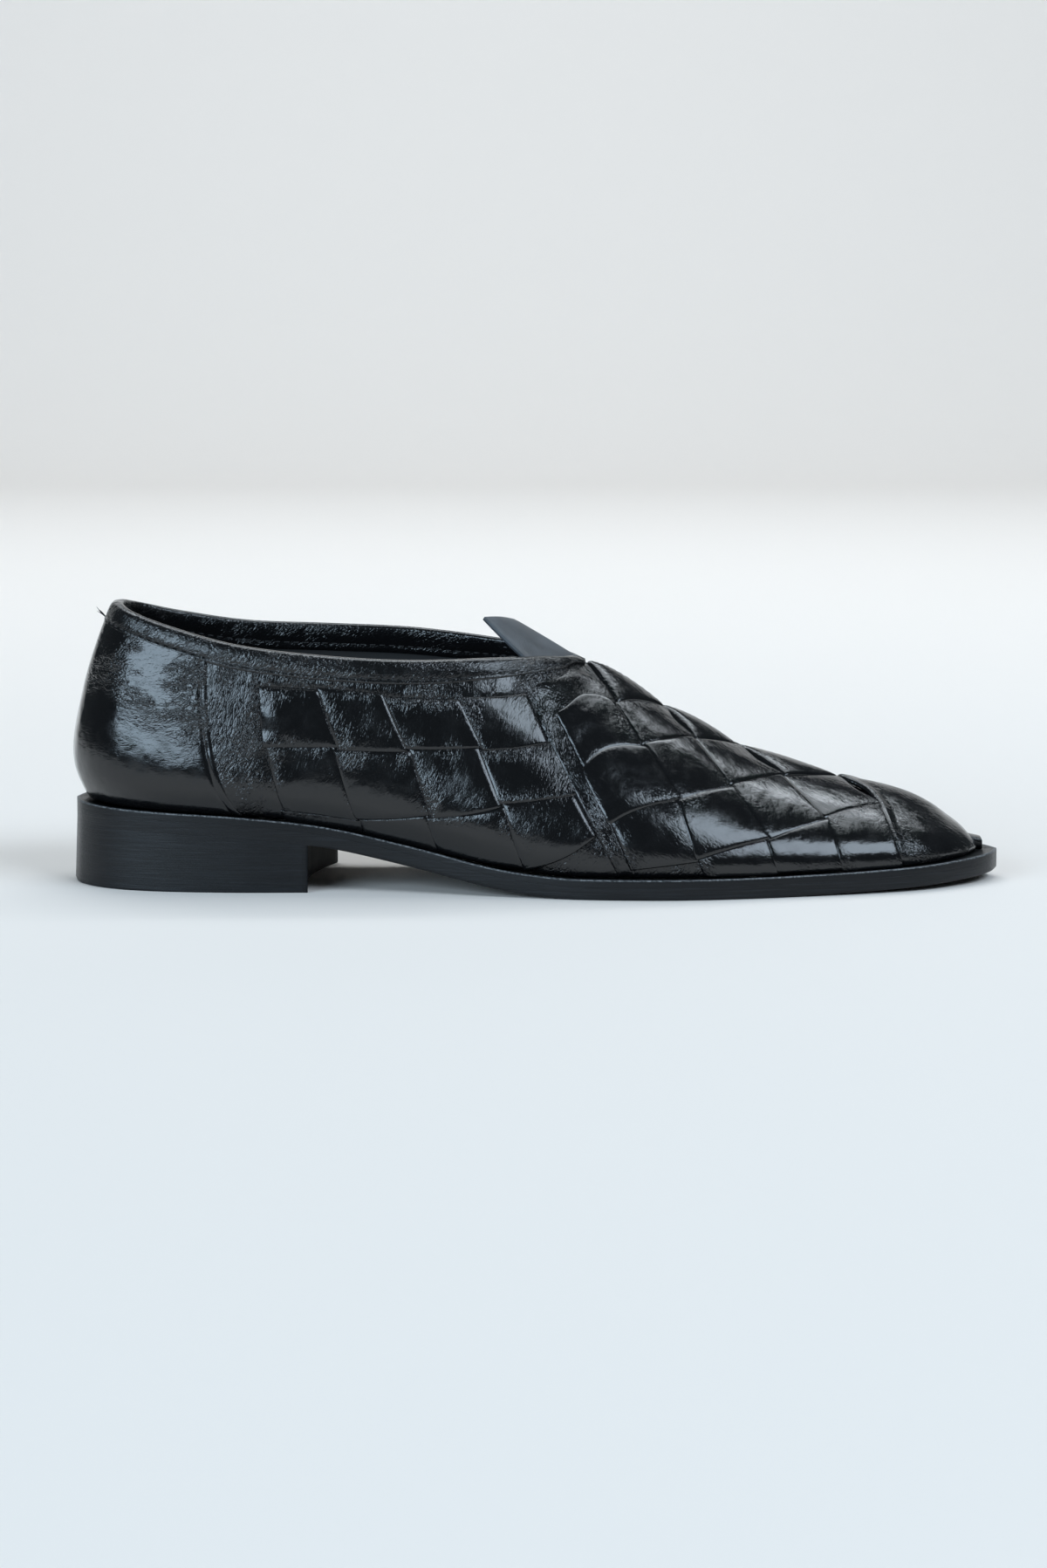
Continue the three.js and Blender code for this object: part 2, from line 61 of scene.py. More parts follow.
# Sections from the back of the heel to the toe. x, top_x: shares of the sole's length. outer,
# inner, top_outer, top_inner: shares of the ball's width. heel_rise, toe_rise: the sole's
# underside, shares of heel height and toe spring. show: share of the welt that shows. top_rise,
# top_tilt: topline or ridge over the welt and the inner side's extra, shares of the upper's
# height. turn: degrees from the toe that the wall faces. foot_out, top_out: fullness, shares of
# the bulge. foot_up, top_down: where it lies, shares of the wall's height.
SECTION_COLUMNS = (
    "x", "outer", "inner", "heel_rise", "toe_rise", "show", "top_x", "top_outer", "top_inner",
    "top_rise", "top_tilt", "turn", "foot_out", "foot_up", "top_out", "top_down",
)
SECTIONS = (
    (0, 0, 0, 1, 0, 1.5, 0.045, 0, 0, 0.996, 0, 180, 1.83, 0.26, 2.25, 0.35),
    (0.011, -0.13, 0.13, 0.995, 0, 1.5, 0.048, -0.073, 0.073, 0.994, 0, 150, 1.83, 0.26, 2.1, 0.35),
    (0.044, -0.24, 0.24, 0.968, 0, 1.47, 0.065, -0.158, 0.158, 0.974, 0.003, 125, 1.8, 0.23, 1.75, 0.38),
    (0.098, -0.305, 0.31, 0.93, 0, 1.4, 0.108, -0.228, 0.228, 0.928, 0.01, 103, 1.75, 0.17, 1.4, 0.44),
    (0.182, -0.332, 0.332, 0.865, 0, 1.2, 0.182, -0.277, 0.277, 0.876, 0.026, 92, 1.7, 0.16, 1.2, 0.46),
    (0.273, -0.33, 0.304, 0.714, 0, 1.2, 0.273, -0.293, 0.293, 0.889, 0.042, 90, 1.75, 0.17, 1.2, 0.46),
    (0.364, -0.355, 0.272, 0.427, 0, 1.2, 0.364, -0.29, 0.283, 0.959, 0.044, 90, 1.85, 0.19, 1.55, 0.42),
    (0.455, -0.425, 0.293, 0.124, 0, 1.2, 0.455, -0.24, 0.225, 1.035, 0.019, 90, 1.65, 0.22, 2.15, 0.31),
    (0.527, -0.475, 0.359, 0.008, 0, 1.2, 0.52, -0.12, 0.105, 1.045, 0.003, 90, 1.4, 0.27, 3, 0.15),
    (0.582, -0.497, 0.418, 0, 0, 1.2, 0.553, 0, 0, 1, 0, 90, 1.25, 0.36, 4.6, 0.06),
    (0.647, -0.5, 0.478, 0, 0, 1.2, 0.637, 0.005, 0.005, 0.765, 0, 90, 1.1, 0.4, 5.2, 0.06),
    (0.713, -0.472, 0.5, 0, 0.04, 1.2, 0.713, 0.016, 0.016, 0.572, 0, 90, 0.95, 0.41, 5, 0.07),
    (0.778, -0.425, 0.47, 0, 0.12, 1.2, 0.778, 0.026, 0.026, 0.452, 0, 89, 0.85, 0.42, 4.5, 0.08),
    (0.844, -0.372, 0.402, 0, 0.28, 1.2, 0.844, 0.032, 0.032, 0.366, 0, 87, 0.75, 0.42, 3.8, 0.08),
    (0.909, -0.3, 0.32, 0, 0.52, 1.25, 0.909, 0.038, 0.038, 0.262, 0, 80, 0.6, 0.45, 2.8, 0.08),
    (0.96, -0.19, 0.218, 0, 0.78, 1.45, 0.949, 0.036, 0.036, 0.15, 0, 60, 0.4, 0.48, 1.4, 0.08),
    (0.988, -0.088, 0.118, 0, 0.93, 1.8, 0.965, 0.028, 0.028, 0.073, 0, 32, 0.2, 0.5, 0.6, 0.1),
    (1, 0.018, 0.018, 0, 1, 2, 0.97, 0.022, 0.022, 0.052, 0, 0, 0.1, 0.5, 0.15, 0.1),
)
LAST_SECTION = len(SECTIONS) - 1
THROAT_SECTION = 9
SOLE_STATIONS = np.linspace(0, LAST_SECTION, LAST_SECTION * 8 + 1)
DENSE_STATIONS = np.linspace(0, LAST_SECTION, 3001)
TALL_STATIONS = np.linspace(0, LAST_SECTION, 86)
TALL_STEPS = np.linspace(0, 1, 13)
TOPLINE_STEPS = np.linspace(1, 0.4, 60)

# Vamp weave: rows climb from the outer foot to the ridge, columns fall from the ridge, the first
# before the throat. Each crossing is (x, v), v 1 on the ridge; the inner side is the net swapped.
VAMP_LINES = (
    (None, (0.582, 1.0)),
    ((0.524, 0.68), (0.604, 0.76), (0.645, 1.0)),
    ((0.555, 0.44), (0.623, 0.59), (0.672, 0.81), (0.716, 1.0)),
    ((0.580, 0.22), (0.651, 0.39), (0.706, 0.57), (0.763, 0.80), (0.825, 1.0)),
    ((0.597, 0.04), (0.668, 0.10), (0.742, 0.26), (0.806, 0.46), (0.867, 0.68), (0.930, 1.0)),
    (None, (0.675, 0.01), (0.753, 0.01), (0.820, 0.01), (0.889, 0.01), (0.945, 0.01)),
)
# From this line on the toe cap takes the place of the cells
TOE_CELL = 3

# Quarter weave: rows from the line under the collar band down to the foot, columns from the back
# panel to the vamp panel
QUARTER_LINES = (
    ((0.208, 0.85), (0.266, 0.86), (0.338, 0.855), (0.413, 0.835), (0.491, 0.805)),
    ((0.213, 0.54), (0.287, 0.58), (0.363, 0.605), (0.439, 0.605), (0.513, 0.58)),
    ((0.230, 0.14), (0.311, 0.15), (0.386, 0.26), (0.462, 0.35), (0.543, 0.35)),
    ((0.236, 0.01), (0.315, 0.01), (0.398, 0.01), (0.484, 0.02), (0.563, 0.185)),
)


class ShoeSizes(bpy.types.PropertyGroup):
    """Real sizes of the shoe"""

    sole_length: bpy.props.FloatProperty(
        name="Sole length", description="Sole from heel to toe", default=0.275, unit="LENGTH")
    ball_width: bpy.props.FloatProperty(
        name="Ball width", description="Widest part of the sole", default=0.092, unit="LENGTH")
    heel_height: bpy.props.FloatProperty(
        name="Heel height", description="Heel under the sole at the back", default=0.0185, unit="LENGTH")
    toe_spring: bpy.props.FloatProperty(
        name="Toe spring", description="Lift of the sole at the toe", default=0.0026, unit="LENGTH")
    outsole: bpy.props.FloatProperty(
        name="Outsole", description="Thickness of the outsole", default=0.0034, unit="LENGTH")
    welt: bpy.props.FloatProperty(
        name="Welt", description="Thickness of the welt", default=0.0023, unit="LENGTH")
    welt_width: bpy.props.FloatProperty(
        name="Welt width", description="Width of the welt strip", default=0.009, unit="LENGTH")
    welt_show: bpy.props.FloatProperty(
        name="Welt shown", description="Welt that shows round the upper", default=0.003, unit="LENGTH")
    seat_gap: bpy.props.FloatProperty(
        name="Seat gap", description="Clearance between pieces", default=0.0003, unit="LENGTH")
    upper_height: bpy.props.FloatProperty(
        name="Upper height", description="Upper over the welt at the back", default=0.058, unit="LENGTH")
    upper_wall: bpy.props.FloatProperty(
        name="Upper wall", description="Leather and lining together", default=0.0018, unit="LENGTH")
    upper_bulge: bpy.props.FloatProperty(
        name="Upper fullness", description="Fullness of the last's walls", default=0.004, unit="LENGTH")
    strip_rise: bpy.props.FloatProperty(
        name="Strip rise", description="Height of a strip on top", default=0.00115, unit="LENGTH")
    ridge_arch: bpy.props.FloatProperty(
        name="Ridge arch", description="Arch of the strips over the ridge", default=0.0013, unit="LENGTH")
    gap_width: bpy.props.FloatProperty(
        name="Gap width", description="Width of the gaps beside the ridge", default=0.0022, unit="LENGTH")
    strip_thickness: bpy.props.FloatProperty(
        name="Strip thickness", description="Thickness of a strip", default=0.0010, unit="LENGTH")
    heel_breast: bpy.props.FloatProperty(
        name="Heel breast", description="Heel's length at its middle", default=0.0734, unit="LENGTH")
    heel_skew: bpy.props.FloatProperty(
        name="Breast skew", description="Inner side of the breast further on", default=0.006, unit="LENGTH")
    heel_hollow: bpy.props.FloatProperty(
        name="Breast hollow", description="Depth of the breast's curve", default=0.004, unit="LENGTH")
    heel_flare: bpy.props.FloatProperty(
        name="Heel flare", description="Heel wider at the floor", default=0.0007, unit="LENGTH")
    insole: bpy.props.FloatProperty(
        name="Insole", description="Thickness of the insole", default=0.0024, unit="LENGTH")
    band_height: bpy.props.FloatProperty(
        name="Band height", description="Height of the collar band", default=0.0066, unit="LENGTH")
    band_thickness: bpy.props.FloatProperty(
        name="Band thickness", description="Thickness of the collar band", default=0.0009, unit="LENGTH")
    counter_thickness: bpy.props.FloatProperty(
        name="Counter thickness", description="Thickness of the back panel", default=0.0007, unit="LENGTH")
    tab_thickness: bpy.props.FloatProperty(
        name="Tab thickness", description="Thickness of the throat tab", default=0.0016, unit="LENGTH")
    stitch_pitch: bpy.props.FloatProperty(
        name="Stitch pitch", description="Distance from stitch to stitch", default=0.0029, unit="LENGTH")
    stitch_radius: bpy.props.FloatProperty(
        name="Thread radius", description="Radius of the sewing thread", default=0.00024, unit="LENGTH")


class LeatherLooks(bpy.types.PropertyGroup):
    """Colours and gloss of the leathers"""

    upper_colour: bpy.props.FloatVectorProperty(
        name="Upper", description="Glossy upper leather", subtype="COLOR", size=3,
        default=(0.0045, 0.0046, 0.0052), min=0, max=1)
    lining_colour: bpy.props.FloatVectorProperty(
        name="Lining", description="Lining and insole", subtype="COLOR", size=3,
        default=(0.0035, 0.0035, 0.004), min=0, max=1)
    tab_colour: bpy.props.FloatVectorProperty(
        name="Tab", description="Satin throat tab", subtype="COLOR", size=3,
        default=(0.055, 0.06, 0.066), min=0, max=1)
    breast_colour: bpy.props.FloatVectorProperty(
        name="Heel breast", description="Dull front of the heel", subtype="COLOR", size=3,
        default=(0.012, 0.013, 0.013), min=0, max=1)
    sole_colour: bpy.props.FloatVectorProperty(
        name="Sole edge", description="Burnished sole leather", subtype="COLOR", size=3,
        default=(0.0055, 0.0064, 0.0078), min=0, max=1)
    # Welt rim colour is a painted highlight: the light, glinting line along the welt's rounded rim
    welt_highlight_colour: bpy.props.FloatVectorProperty(
        name="Welt rim", description="Worn rim of the welt", subtype="COLOR", size=3,
        default=(0.20, 0.21, 0.22), min=0, max=1)
    floor_colour: bpy.props.FloatVectorProperty(
        name="Floor", description="Pale studio sweep", subtype="COLOR", size=3,
        default=(0.84, 0.78, 0.73), min=0, max=1)
    upper_roughness: bpy.props.FloatProperty(
        name="Upper roughness", description="Roughness of the glossy leather", default=0.15,
        min=0, max=1, subtype="FACTOR")


class StudioSet(bpy.types.PropertyGroup):
    """Camera and lights"""

    lens: bpy.props.FloatProperty(
        name="Lens", description="Focal length in millimetres on a 36 mm long side", default=90.0)
    distance: bpy.props.FloatProperty(
        name="Distance", description="Camera to shoe", default=1.17, unit="LENGTH")
    pitch: bpy.props.FloatProperty(
        name="Pitch", description="Camera looks down by this", default=math.radians(7.4), subtype="ANGLE")
    aim_x: bpy.props.FloatProperty(
        name="Aim along", description="Aim point from the back of the sole", default=0.1333, unit="LENGTH")
    aim_z: bpy.props.FloatProperty(
        name="Aim height", description="Aim point over the floor", default=0.028, unit="LENGTH")


def sizes():
    return bpy.context.scene.slip_on_sizes


def looks():
    return bpy.context.scene.slip_on_looks


def studio():
    return bpy.context.scene.slip_on_studio


# The last


class Last:
    """Surface of the shoe as functions of side (-1 outer, 1 inner), section s and height share v"""

    def __init__(self, size):
        self.size = size
        self.table = np.array(SECTIONS, dtype=float)
        self.dense_x = self.column("x", DENSE_STATIONS)
        self.shift = (size.heel_flare - size.sole_length) / 2
        self.depth = size.outsole + size.seat_gap + size.welt
        s, v = np.meshgrid(TALL_STATIONS, TALL_STEPS, indexing="ij")
        steps = np.diff(self.wall(np.full(s.shape, -1.0), s, v, 0.0), axis=1)
        self.tall = np.linalg.norm(steps, axis=-1).sum(axis=1)

    def column(self, name, s):
        """One column of the table on a smooth curve through the sections"""
        values = self.table[:, SECTION_COLUMNS.index(name)]
        s = np.asarray(s, dtype=float)
        i = np.clip(np.floor(s).astype(int), 0, LAST_SECTION - 1)
        t = s - i
        p0, p1, p2, p3 = (values[np.clip(i + k, 0, LAST_SECTION)] for k in (-1, 0, 1, 2))
        m1, m2 = (p2 - p0) / 2, (p3 - p1) / 2
        t2, t3 = t * t, t * t * t
        return (2 * t3 - 3 * t2 + 1) * p1 + (t3 - 2 * t2 + t) * m1 + (3 * t2 - 2 * t3) * p2 + (t3 - t2) * m2

    def section_at(self, x):
        return np.interp(x, self.dense_x, DENSE_STATIONS)

    def tall_at(self, x):
        """Length of the wall from foot to topline or ridge"""
        return np.interp(self.section_at(x), TALL_STATIONS, self.tall)

    def sole_bottom(self, s):
        rise = self.size.heel_height * self.column("heel_rise", s)
        return np.maximum(rise + self.size.toe_spring * self.column("toe_rise", s), 0)

    def welt_top(self, s):
        return self.sole_bottom(s) + self.depth

    def sole_edge(self, side, s, inset):
        """Edge of the sole in plan, moved in by inset"""
        turn = np.radians(self.column("turn", s))
        x = self.column("x", s) * self.size.sole_length - np.cos(turn) * inset
        y = np.where(side < 0, self.column("outer", s), self.column("inner", s)) * self.size.ball_width
        return np.stack([x + self.shift, y - side * np.sin(turn) * inset], axis=-1)

    def wall(self, side, s, v, inset):
        """Point of the wall, v from its foot (0) to the topline or ridge (1)"""
        turn = np.radians(self.column("turn", s))
        out = np.stack([np.cos(turn), side * np.sin(turn), np.zeros_like(turn)], axis=-1)
        up = np.array([0.0, 0.0, 1.0])
        edge = self.sole_edge(side, s, self.size.welt_show * self.column("show", s) + inset)
        base = self.welt_top(s) + self.size.seat_gap
        rise = self.column("top_rise", s) + side * self.column("top_tilt", s)
        height = (self.size.upper_height * rise - self.size.seat_gap)[..., None]
        collar = np.clip(THROAT_SECTION - s, 0, 1)[..., None]
        foot = np.concatenate([edge, base[..., None]], axis=-1)
        top_y = np.where(side < 0, self.column("top_outer", s), self.column("top_inner", s))
        top = np.stack([
            self.column("top_x", s) * self.size.sole_length + self.shift,
            top_y * self.size.ball_width,
            base + height[..., 0],
        ], axis=-1)
        top = top - out * inset * collar - up * inset * (1 - collar)
        bulge = self.size.upper_bulge
        low = foot + out * bulge * self.column("foot_out", s)[..., None]
        low = low + up * height * self.column("foot_up", s)[..., None]
        high = top + out * bulge * self.column("top_out", s)[..., None]
        high = high - up * height * self.column("top_down", s)[..., None]
        v = v[..., None]
        w = 1 - v
        return w ** 3 * foot + 3 * w * w * v * low + 3 * w * v * v * high + v ** 3 * top

    def point(self, side, s, v, inset=0.0):
        """The same for places past the heel or toe or over the ridge, which are the other side"""
        side, s, v = (np.array(a, dtype=float) for a in np.broadcast_arrays(side, s, v))
        past = s < 0
        side[past] *= -1
        s[past] *= -1
        past = s > LAST_SECTION
        side[past] *= -1
        s[past] = 2 * LAST_SECTION - s[past]
        past = (v > 1) & (s >= THROAT_SECTION)
        side[past] *= -1
        v[past] = 2 - v[past]
        return self.wall(side, s, np.clip(v, 0, 1), inset)

    def raised(self, side, s, v, rise):
        """Point raised from the wall along its normal"""
        step = 0.02
        side, s, v = (np.array(a, dtype=float) for a in np.broadcast_arrays(side, s, v))
        along = self.point(side, s + step, v) - self.point(side, s - step, v)
        across = self.point(side, s, v + step) - self.point(side, s, v - step)
        normal = np.cross(along, across)
        normal /= np.maximum(np.linalg.norm(normal, axis=-1, keepdims=True), 1e-12)
        return self.point(side, s, v) - (side * rise)[..., None] * normal

    def below_topline(self, side, s, distance):
        """Share of the wall's height that lies a distance down from the topline"""
        steps = TOPLINE_STEPS
        found = np.empty(len(s))
        distance = np.broadcast_to(distance, len(s))
        for k, place in enumerate(s):
            line = self.wall(np.full(len(steps), float(side[k])), np.full(len(steps), place), steps, 0.0)
            found[k] = np.interp(distance[k], run_along(line), steps)
        return found

    def sheet(self, side, s, v, bottom, top):
        """Grid two points thick between two heights over the wall"""
        return np.stack([self.raised(side, s, v, bottom), self.raised(side, s, v, top)], axis=2)


def run_along(line):
    """Length run at each point of a line"""
    return np.concatenate([[0], np.cumsum(np.linalg.norm(np.diff(line, axis=0), axis=1))])


def grain_place(last, x, v, degrees, number=0.0):
    """Place over the wall in millimetres, its first axis turned by degrees and shortened"""
    along = x * last.size.sole_length / MM
    up = v * last.tall_at(np.clip(x, 0, 1)) / MM
    turn = math.radians(degrees)
    long = along * math.cos(turn) + up * math.sin(turn)
    cross = up * math.cos(turn) - along * math.sin(turn)
    return np.stack([long * GRAIN_SQUEEZE, cross, np.full(long.shape, 7.0 * number)], axis=-1)


def smooth_step(low, high, value):
    t = np.clip((value - low) / (high - low), 0, 1)
    return t * t * (3 - 2 * t)


# Meshes


def mesh_object(name, points, faces, material_slots, face_materials=None, values=None):
    """Object from points and faces, one smooth closed skin, with named values per point"""
    mesh = bpy.data.meshes.new(name)
    mesh.from_pydata(np.asarray(points).tolist(), [], faces)
    for material in material_slots:
        mesh.materials.append(material)
    if face_materials is not None:
        mesh.polygons.foreach_set("material_index", face_materials)
    for key, array in (values or {}).items():
        array = np.asarray(array, dtype=np.float32)
        is_place = array.ndim == 2
        layer = mesh.attributes.new(key, "FLOAT_VECTOR" if is_place else "FLOAT", "POINT")
        layer.data.foreach_set("vector" if is_place else "value", array.ravel())
    shape = bmesh.new()
    shape.from_mesh(mesh)
    bmesh.ops.remove_doubles(shape, verts=shape.verts, dist=2e-6)
    bmesh.ops.recalc_face_normals(shape, faces=shape.faces)
    for face in shape.faces:
        face.smooth = True
    shape.to_mesh(mesh)
    shape.free()
    piece = bpy.data.objects.new(name, mesh)
    bpy.context.collection.objects.link(piece)
    return piece


def block_faces(shape, start=0):
    """Faces of the outside of a grid of points with shape (i, j, k), numbered row by row"""
    ni, nj, nk = shape
    index = np.arange(ni * nj * nk).reshape(shape) + start
    faces = []

    def skin(sheet):
        a, b = sheet[:-1, :-1].ravel(), sheet[1:, :-1].ravel()
        c, d = sheet[1:, 1:].ravel(), sheet[:-1, 1:].ravel()
        faces.extend(np.stack([a, b, c, d], axis=1).tolist())

    for sheet in (index[:, :, 0], index[:, :, -1], index[:, 0, :], index[:, -1, :], index[0], index[-1]):
        skin(sheet)
    return faces


class Skin:
    """Collects several closed blocks into one mesh, only with the points that its faces use"""

    def __init__(self):
        self.points = []
        self.faces = []
        self.values = {}
        self.count = 0

    def add_block(self, grid, values=None):
        """grid is (i, j, k, 3); values are named arrays of shape (i, j, k)"""
        faces = block_faces(grid.shape[:3])
        used = np.unique(np.array(faces))
        order = np.full(grid.shape[0] * grid.shape[1] * grid.shape[2], -1)
        order[used] = np.arange(len(used))
        self.faces.extend((order[np.array(faces)] + self.count).tolist())
        self.points.append(grid.reshape(-1, 3)[used])
        for key, array in (values or {}).items():
            array = np.asarray(array)
            flat = array.reshape(-1, *array.shape[3:])[used]
            self.values.setdefault(key, []).append(flat)
        self.count += len(used)

    def add_sheet(self, grid, crease, grain):
        """A block two points thick, with the same crease and grain on both sides"""
        self.add_block(grid, {
            "crease": np.repeat(crease[..., None], 2, axis=2),
            "grain": np.repeat(grain[:, :, None], 2, axis=2),
        })

    def add_tube(self, line, radius, side, up):
        """Closed tube of six sides round a line of points, side and up across it"""
        angles = np.linspace(0, 2 * math.pi, 6, endpoint=False)
        across = np.cos(angles)[None, :, None] * side + np.sin(angles)[None, :, None] * up
        rings = line[:, None] + radius[:, None, None] * across
        n, m = rings.shape[:2]
        index = np.arange(n * m).reshape(n, m) + self.count
        turned = np.roll(index, -1, axis=1)
        quads = np.stack([index[:-1], turned[:-1], turned[1:], index[1:]], axis=-1)
        self.faces.extend(quads.reshape(-1, 4).tolist())
        self.faces.append(index[0].tolist())
        self.faces.append(index[-1].tolist())
        self.points.append(rings.reshape(-1, 3))
        self.count += n * m

    def make(self, name, materials):
        values = {key: np.concatenate(parts) for key, parts in self.values.items()}
        return mesh_object(name, np.concatenate(self.points), self.faces, materials, None, values)


def place_piece(piece, slot, *nodes):
    """The piece rides on the shoe's one body and stands for the named nodes; slot is not used"""
    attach(piece, BODY)
    if nodes:
        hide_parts(*nodes)
    return piece


# Materials


def node_group(name, inputs, outputs):
    """Empty shader node group with named sockets; inputs are (name, kind, default)"""
    group = bpy.data.node_groups.new(name, "ShaderNodeTree")
    for label, kind, default in inputs:
        socket = group.interface.new_socket(name=label, in_out="INPUT", socket_type=kind)
        if default is not None:
            socket.default_value = default
    for label, kind in outputs:
        group.interface.new_socket(name=label, in_out="OUTPUT", socket_type=kind)
    return group


# Colour sockets of a Mix node, whose names occur several times
MIX_FIRST, MIX_SECOND, MIX_RESULT = 6, 7, 2
THREAD_COLOUR = (0.006, 0.006, 0.007, 1)


class Nodes:
    """Short way to add and link nodes in one tree"""

    def __init__(self, tree):
        self.tree = tree

    def add(self, kind, settings=None, **inputs):
        node = self.tree.nodes.new(kind)
        for key, value in (settings or {}).items():
            setattr(node, key, value)
        for key, value in inputs.items():
            self.feed(node, key.replace("_", " "), value)
        return node

    def feed(self, node, label, value):
        """Link or set an input by its name, or by its place as in i0"""
        socket = node.inputs[int(label[1:])] if label[1:].isdigit() else node.inputs[label]
        if isinstance(value, bpy.types.NodeSocket):
            self.tree.links.new(value, socket)
        else:
            socket.default_value = value

    def math(self, operation, a, b=0.0, clamp=False):
        settings = {"operation": operation, "use_clamp": clamp}
        return self.add("ShaderNodeMath", settings, i0=a, i1=b).outputs[0]

    def ramp(self, value, low, high, to_low=0.0, to_high=1.0):
        node = self.add("ShaderNodeMapRange", {"interpolation_type": "SMOOTHSTEP"}, Value=value)
        limits = (("From Min", low), ("From Max", high), ("To Min", to_low), ("To Max", to_high))
        for label, number in limits:
            node.inputs[label].default_value = number
        return node.outputs["Result"]


def crinkle_group():
    """Fine crinkles of patent-like leather: lines between small crumpled cells, in patches"""
    name = "leather_crinkle"
    if name in bpy.data.node_groups:
        return bpy.data.node_groups[name]
    group = node_group(
        name,
        [("Vector", "NodeSocketVector", None), ("Crease", "NodeSocketFloat", 0.5),
         ("Amount", "NodeSocketFloat", 1.0), ("Smooth", "NodeSocketFloat", 0.15)],
        [("Height", "NodeSocketFloat")],
    )
    n = Nodes(group)
    source = n.add("NodeGroupInput").outputs
    target = n.add("NodeGroupOutput")
    warp = n.add("ShaderNodeTexNoise", Vector=source["Vector"], Scale=0.5, Detail=2.0)
    shifted = n.add("ShaderNodeVectorMath", {"operation": "SCALE"}, i0=warp.outputs["Color"])
    shifted.inputs["Scale"].default_value = 0.9
    moved = n.add("ShaderNodeVectorMath", {"operation": "ADD"}, i0=source["Vector"], i1=shifted.outputs[0])
    edges = {"feature": "DISTANCE_TO_EDGE"}
    coarse = n.add("ShaderNodeTexVoronoi", edges, Vector=moved.outputs[0], Scale=0.8)
    fine = n.add("ShaderNodeTexVoronoi", edges, Vector=moved.outputs[0], Scale=2.1)
    coarse_lines = n.ramp(coarse.outputs["Distance"], 0.0, 0.24)
    fine_lines = n.ramp(fine.outputs["Distance"], 0.0, 0.28)
    patches = n.add("ShaderNodeTexNoise", Vector=source["Vector"], Scale=0.13, Detail=3.0, Roughness=0.6)
    patch = n.ramp(patches.outputs["Fac"], 0.42, 0.6)
    spots = n.math("ADD", n.math("MULTIPLY", patch, 0.88), 0.12)
    mask = n.math("ADD", n.math("MULTIPLY", source["Crease"], spots), source["Smooth"], clamp=True)
    mask = n.math("MULTIPLY", mask, source["Amount"])
    both = n.math("ADD", n.math("MULTIPLY", coarse_lines, 0.62), n.math("MULTIPLY", fine_lines, 0.38))
    n.feed(target, "Height", n.math("MULTIPLY", both, mask))
    return group


def object_millimetres(n):
    """Object coordinates in millimetres"""
    coordinates = n.add("ShaderNodeTexCoord").outputs["Object"]
    scaled = n.add("ShaderNodeVectorMath", {"operation": "SCALE"}, i0=coordinates)
    scaled.inputs["Scale"].default_value = 1 / MM
    return scaled.outputs[0]


def new_material(name):
    material = bpy.data.materials.new(name)
    material.use_nodes = True
    material.node_tree.nodes.clear()
    n = Nodes(material.node_tree)
    shader = n.add("ShaderNodeBsdfPrincipled")
    output = n.add("ShaderNodeOutputMaterial")
    material.node_tree.links.new(shader.outputs["BSDF"], output.inputs["Surface"])
    return material, n, shader


def glossy_leather(name, amount, smooth, roughness):
    """Black glossy leather with crinkles where it is creased"""
    material, n, shader = new_material(name)
    place = object_millimetres(n)
    crease = n.add("ShaderNodeAttribute", {"attribute_name": "crease"}).outputs["Fac"]
    grain = n.add("ShaderNodeAttribute", {"attribute_name": "grain"}).outputs["Vector"]
    crinkle = n.add("ShaderNodeGroup", {"node_tree": crinkle_group()},
                    Vector=grain, Crease=crease, Amount=amount, Smooth=smooth)
    swell = n.add("ShaderNodeTexNoise", Vector=place, Scale=0.13, Detail=2.0)
    pores = n.add("ShaderNodeTexNoise", Vector=place, Scale=2.4, Detail=3.0, Roughness=0.6)
    first = n.add("ShaderNodeBump", Strength=1.0, Distance=0.3 * MM, Height=swell.outputs["Fac"])
    second = n.add("ShaderNodeBump", Strength=1.0, Distance=0.28 * MM, Height=crinkle.outputs["Height"],
                   Normal=first.outputs["Normal"])
    third = n.add("ShaderNodeBump", Strength=1.0, Distance=0.016 * MM, Height=pores.outputs["Fac"],
                  Normal=second.outputs["Normal"])
    n.feed(shader, "Normal", third.outputs["Normal"])
    shader.inputs["Base Color"].default_value = (*looks().upper_colour, 1)
    dull = n.add("ShaderNodeTexNoise", Vector=place, Scale=0.2, Detail=4.0, Roughness=0.65)
    spread = n.ramp(dull.outputs["Fac"], 0.35, 0.7, roughness - 0.05, roughness + 0.07)
    n.feed(shader, "Roughness", spread)
    shader.inputs["Specular IOR Level"].default_value = 0.45
    shader.inputs["Coat Weight"].default_value = 0.25
    shader.inputs["Coat Roughness"].default_value = 0.1
    n.feed(shader, "Coat Normal", third.outputs["Normal"])
    return material


def satin_leather(name, colour, roughness):
    """Soft leather with a fine grain, for lining, insole, throat tab and heel breast"""
    material, n, shader = new_material(name)
    place = object_millimetres(n)
    grain = n.add("ShaderNodeTexVoronoi", Vector=place, Scale=1.6)
    cloud = n.add("ShaderNodeTexNoise", Vector=place, Scale=0.12, Detail=3.0)
    bump = n.add("ShaderNodeBump", Strength=0.6, Distance=0.06 * MM, Height=grain.outputs["Distance"])
    n.feed(shader, "Normal", bump.outputs["Normal"])
    tint = n.add("ShaderNodeMix", {"data_type": "RGBA"})
    n.feed(tint, "i0", n.ramp(cloud.outputs["Fac"], 0.3, 0.7))
    tint.inputs[MIX_FIRST].default_value = (*colour, 1)
    tint.inputs[MIX_SECOND].default_value = (*[channel * 1.6 for channel in colour], 1)
    n.feed(shader, "Base Color", tint.outputs[MIX_RESULT])
    n.feed(shader, "Roughness", n.ramp(cloud.outputs["Fac"], 0.3, 0.7, roughness - 0.06, roughness + 0.08))
    shader.inputs["Specular IOR Level"].default_value = 0.25
    return material


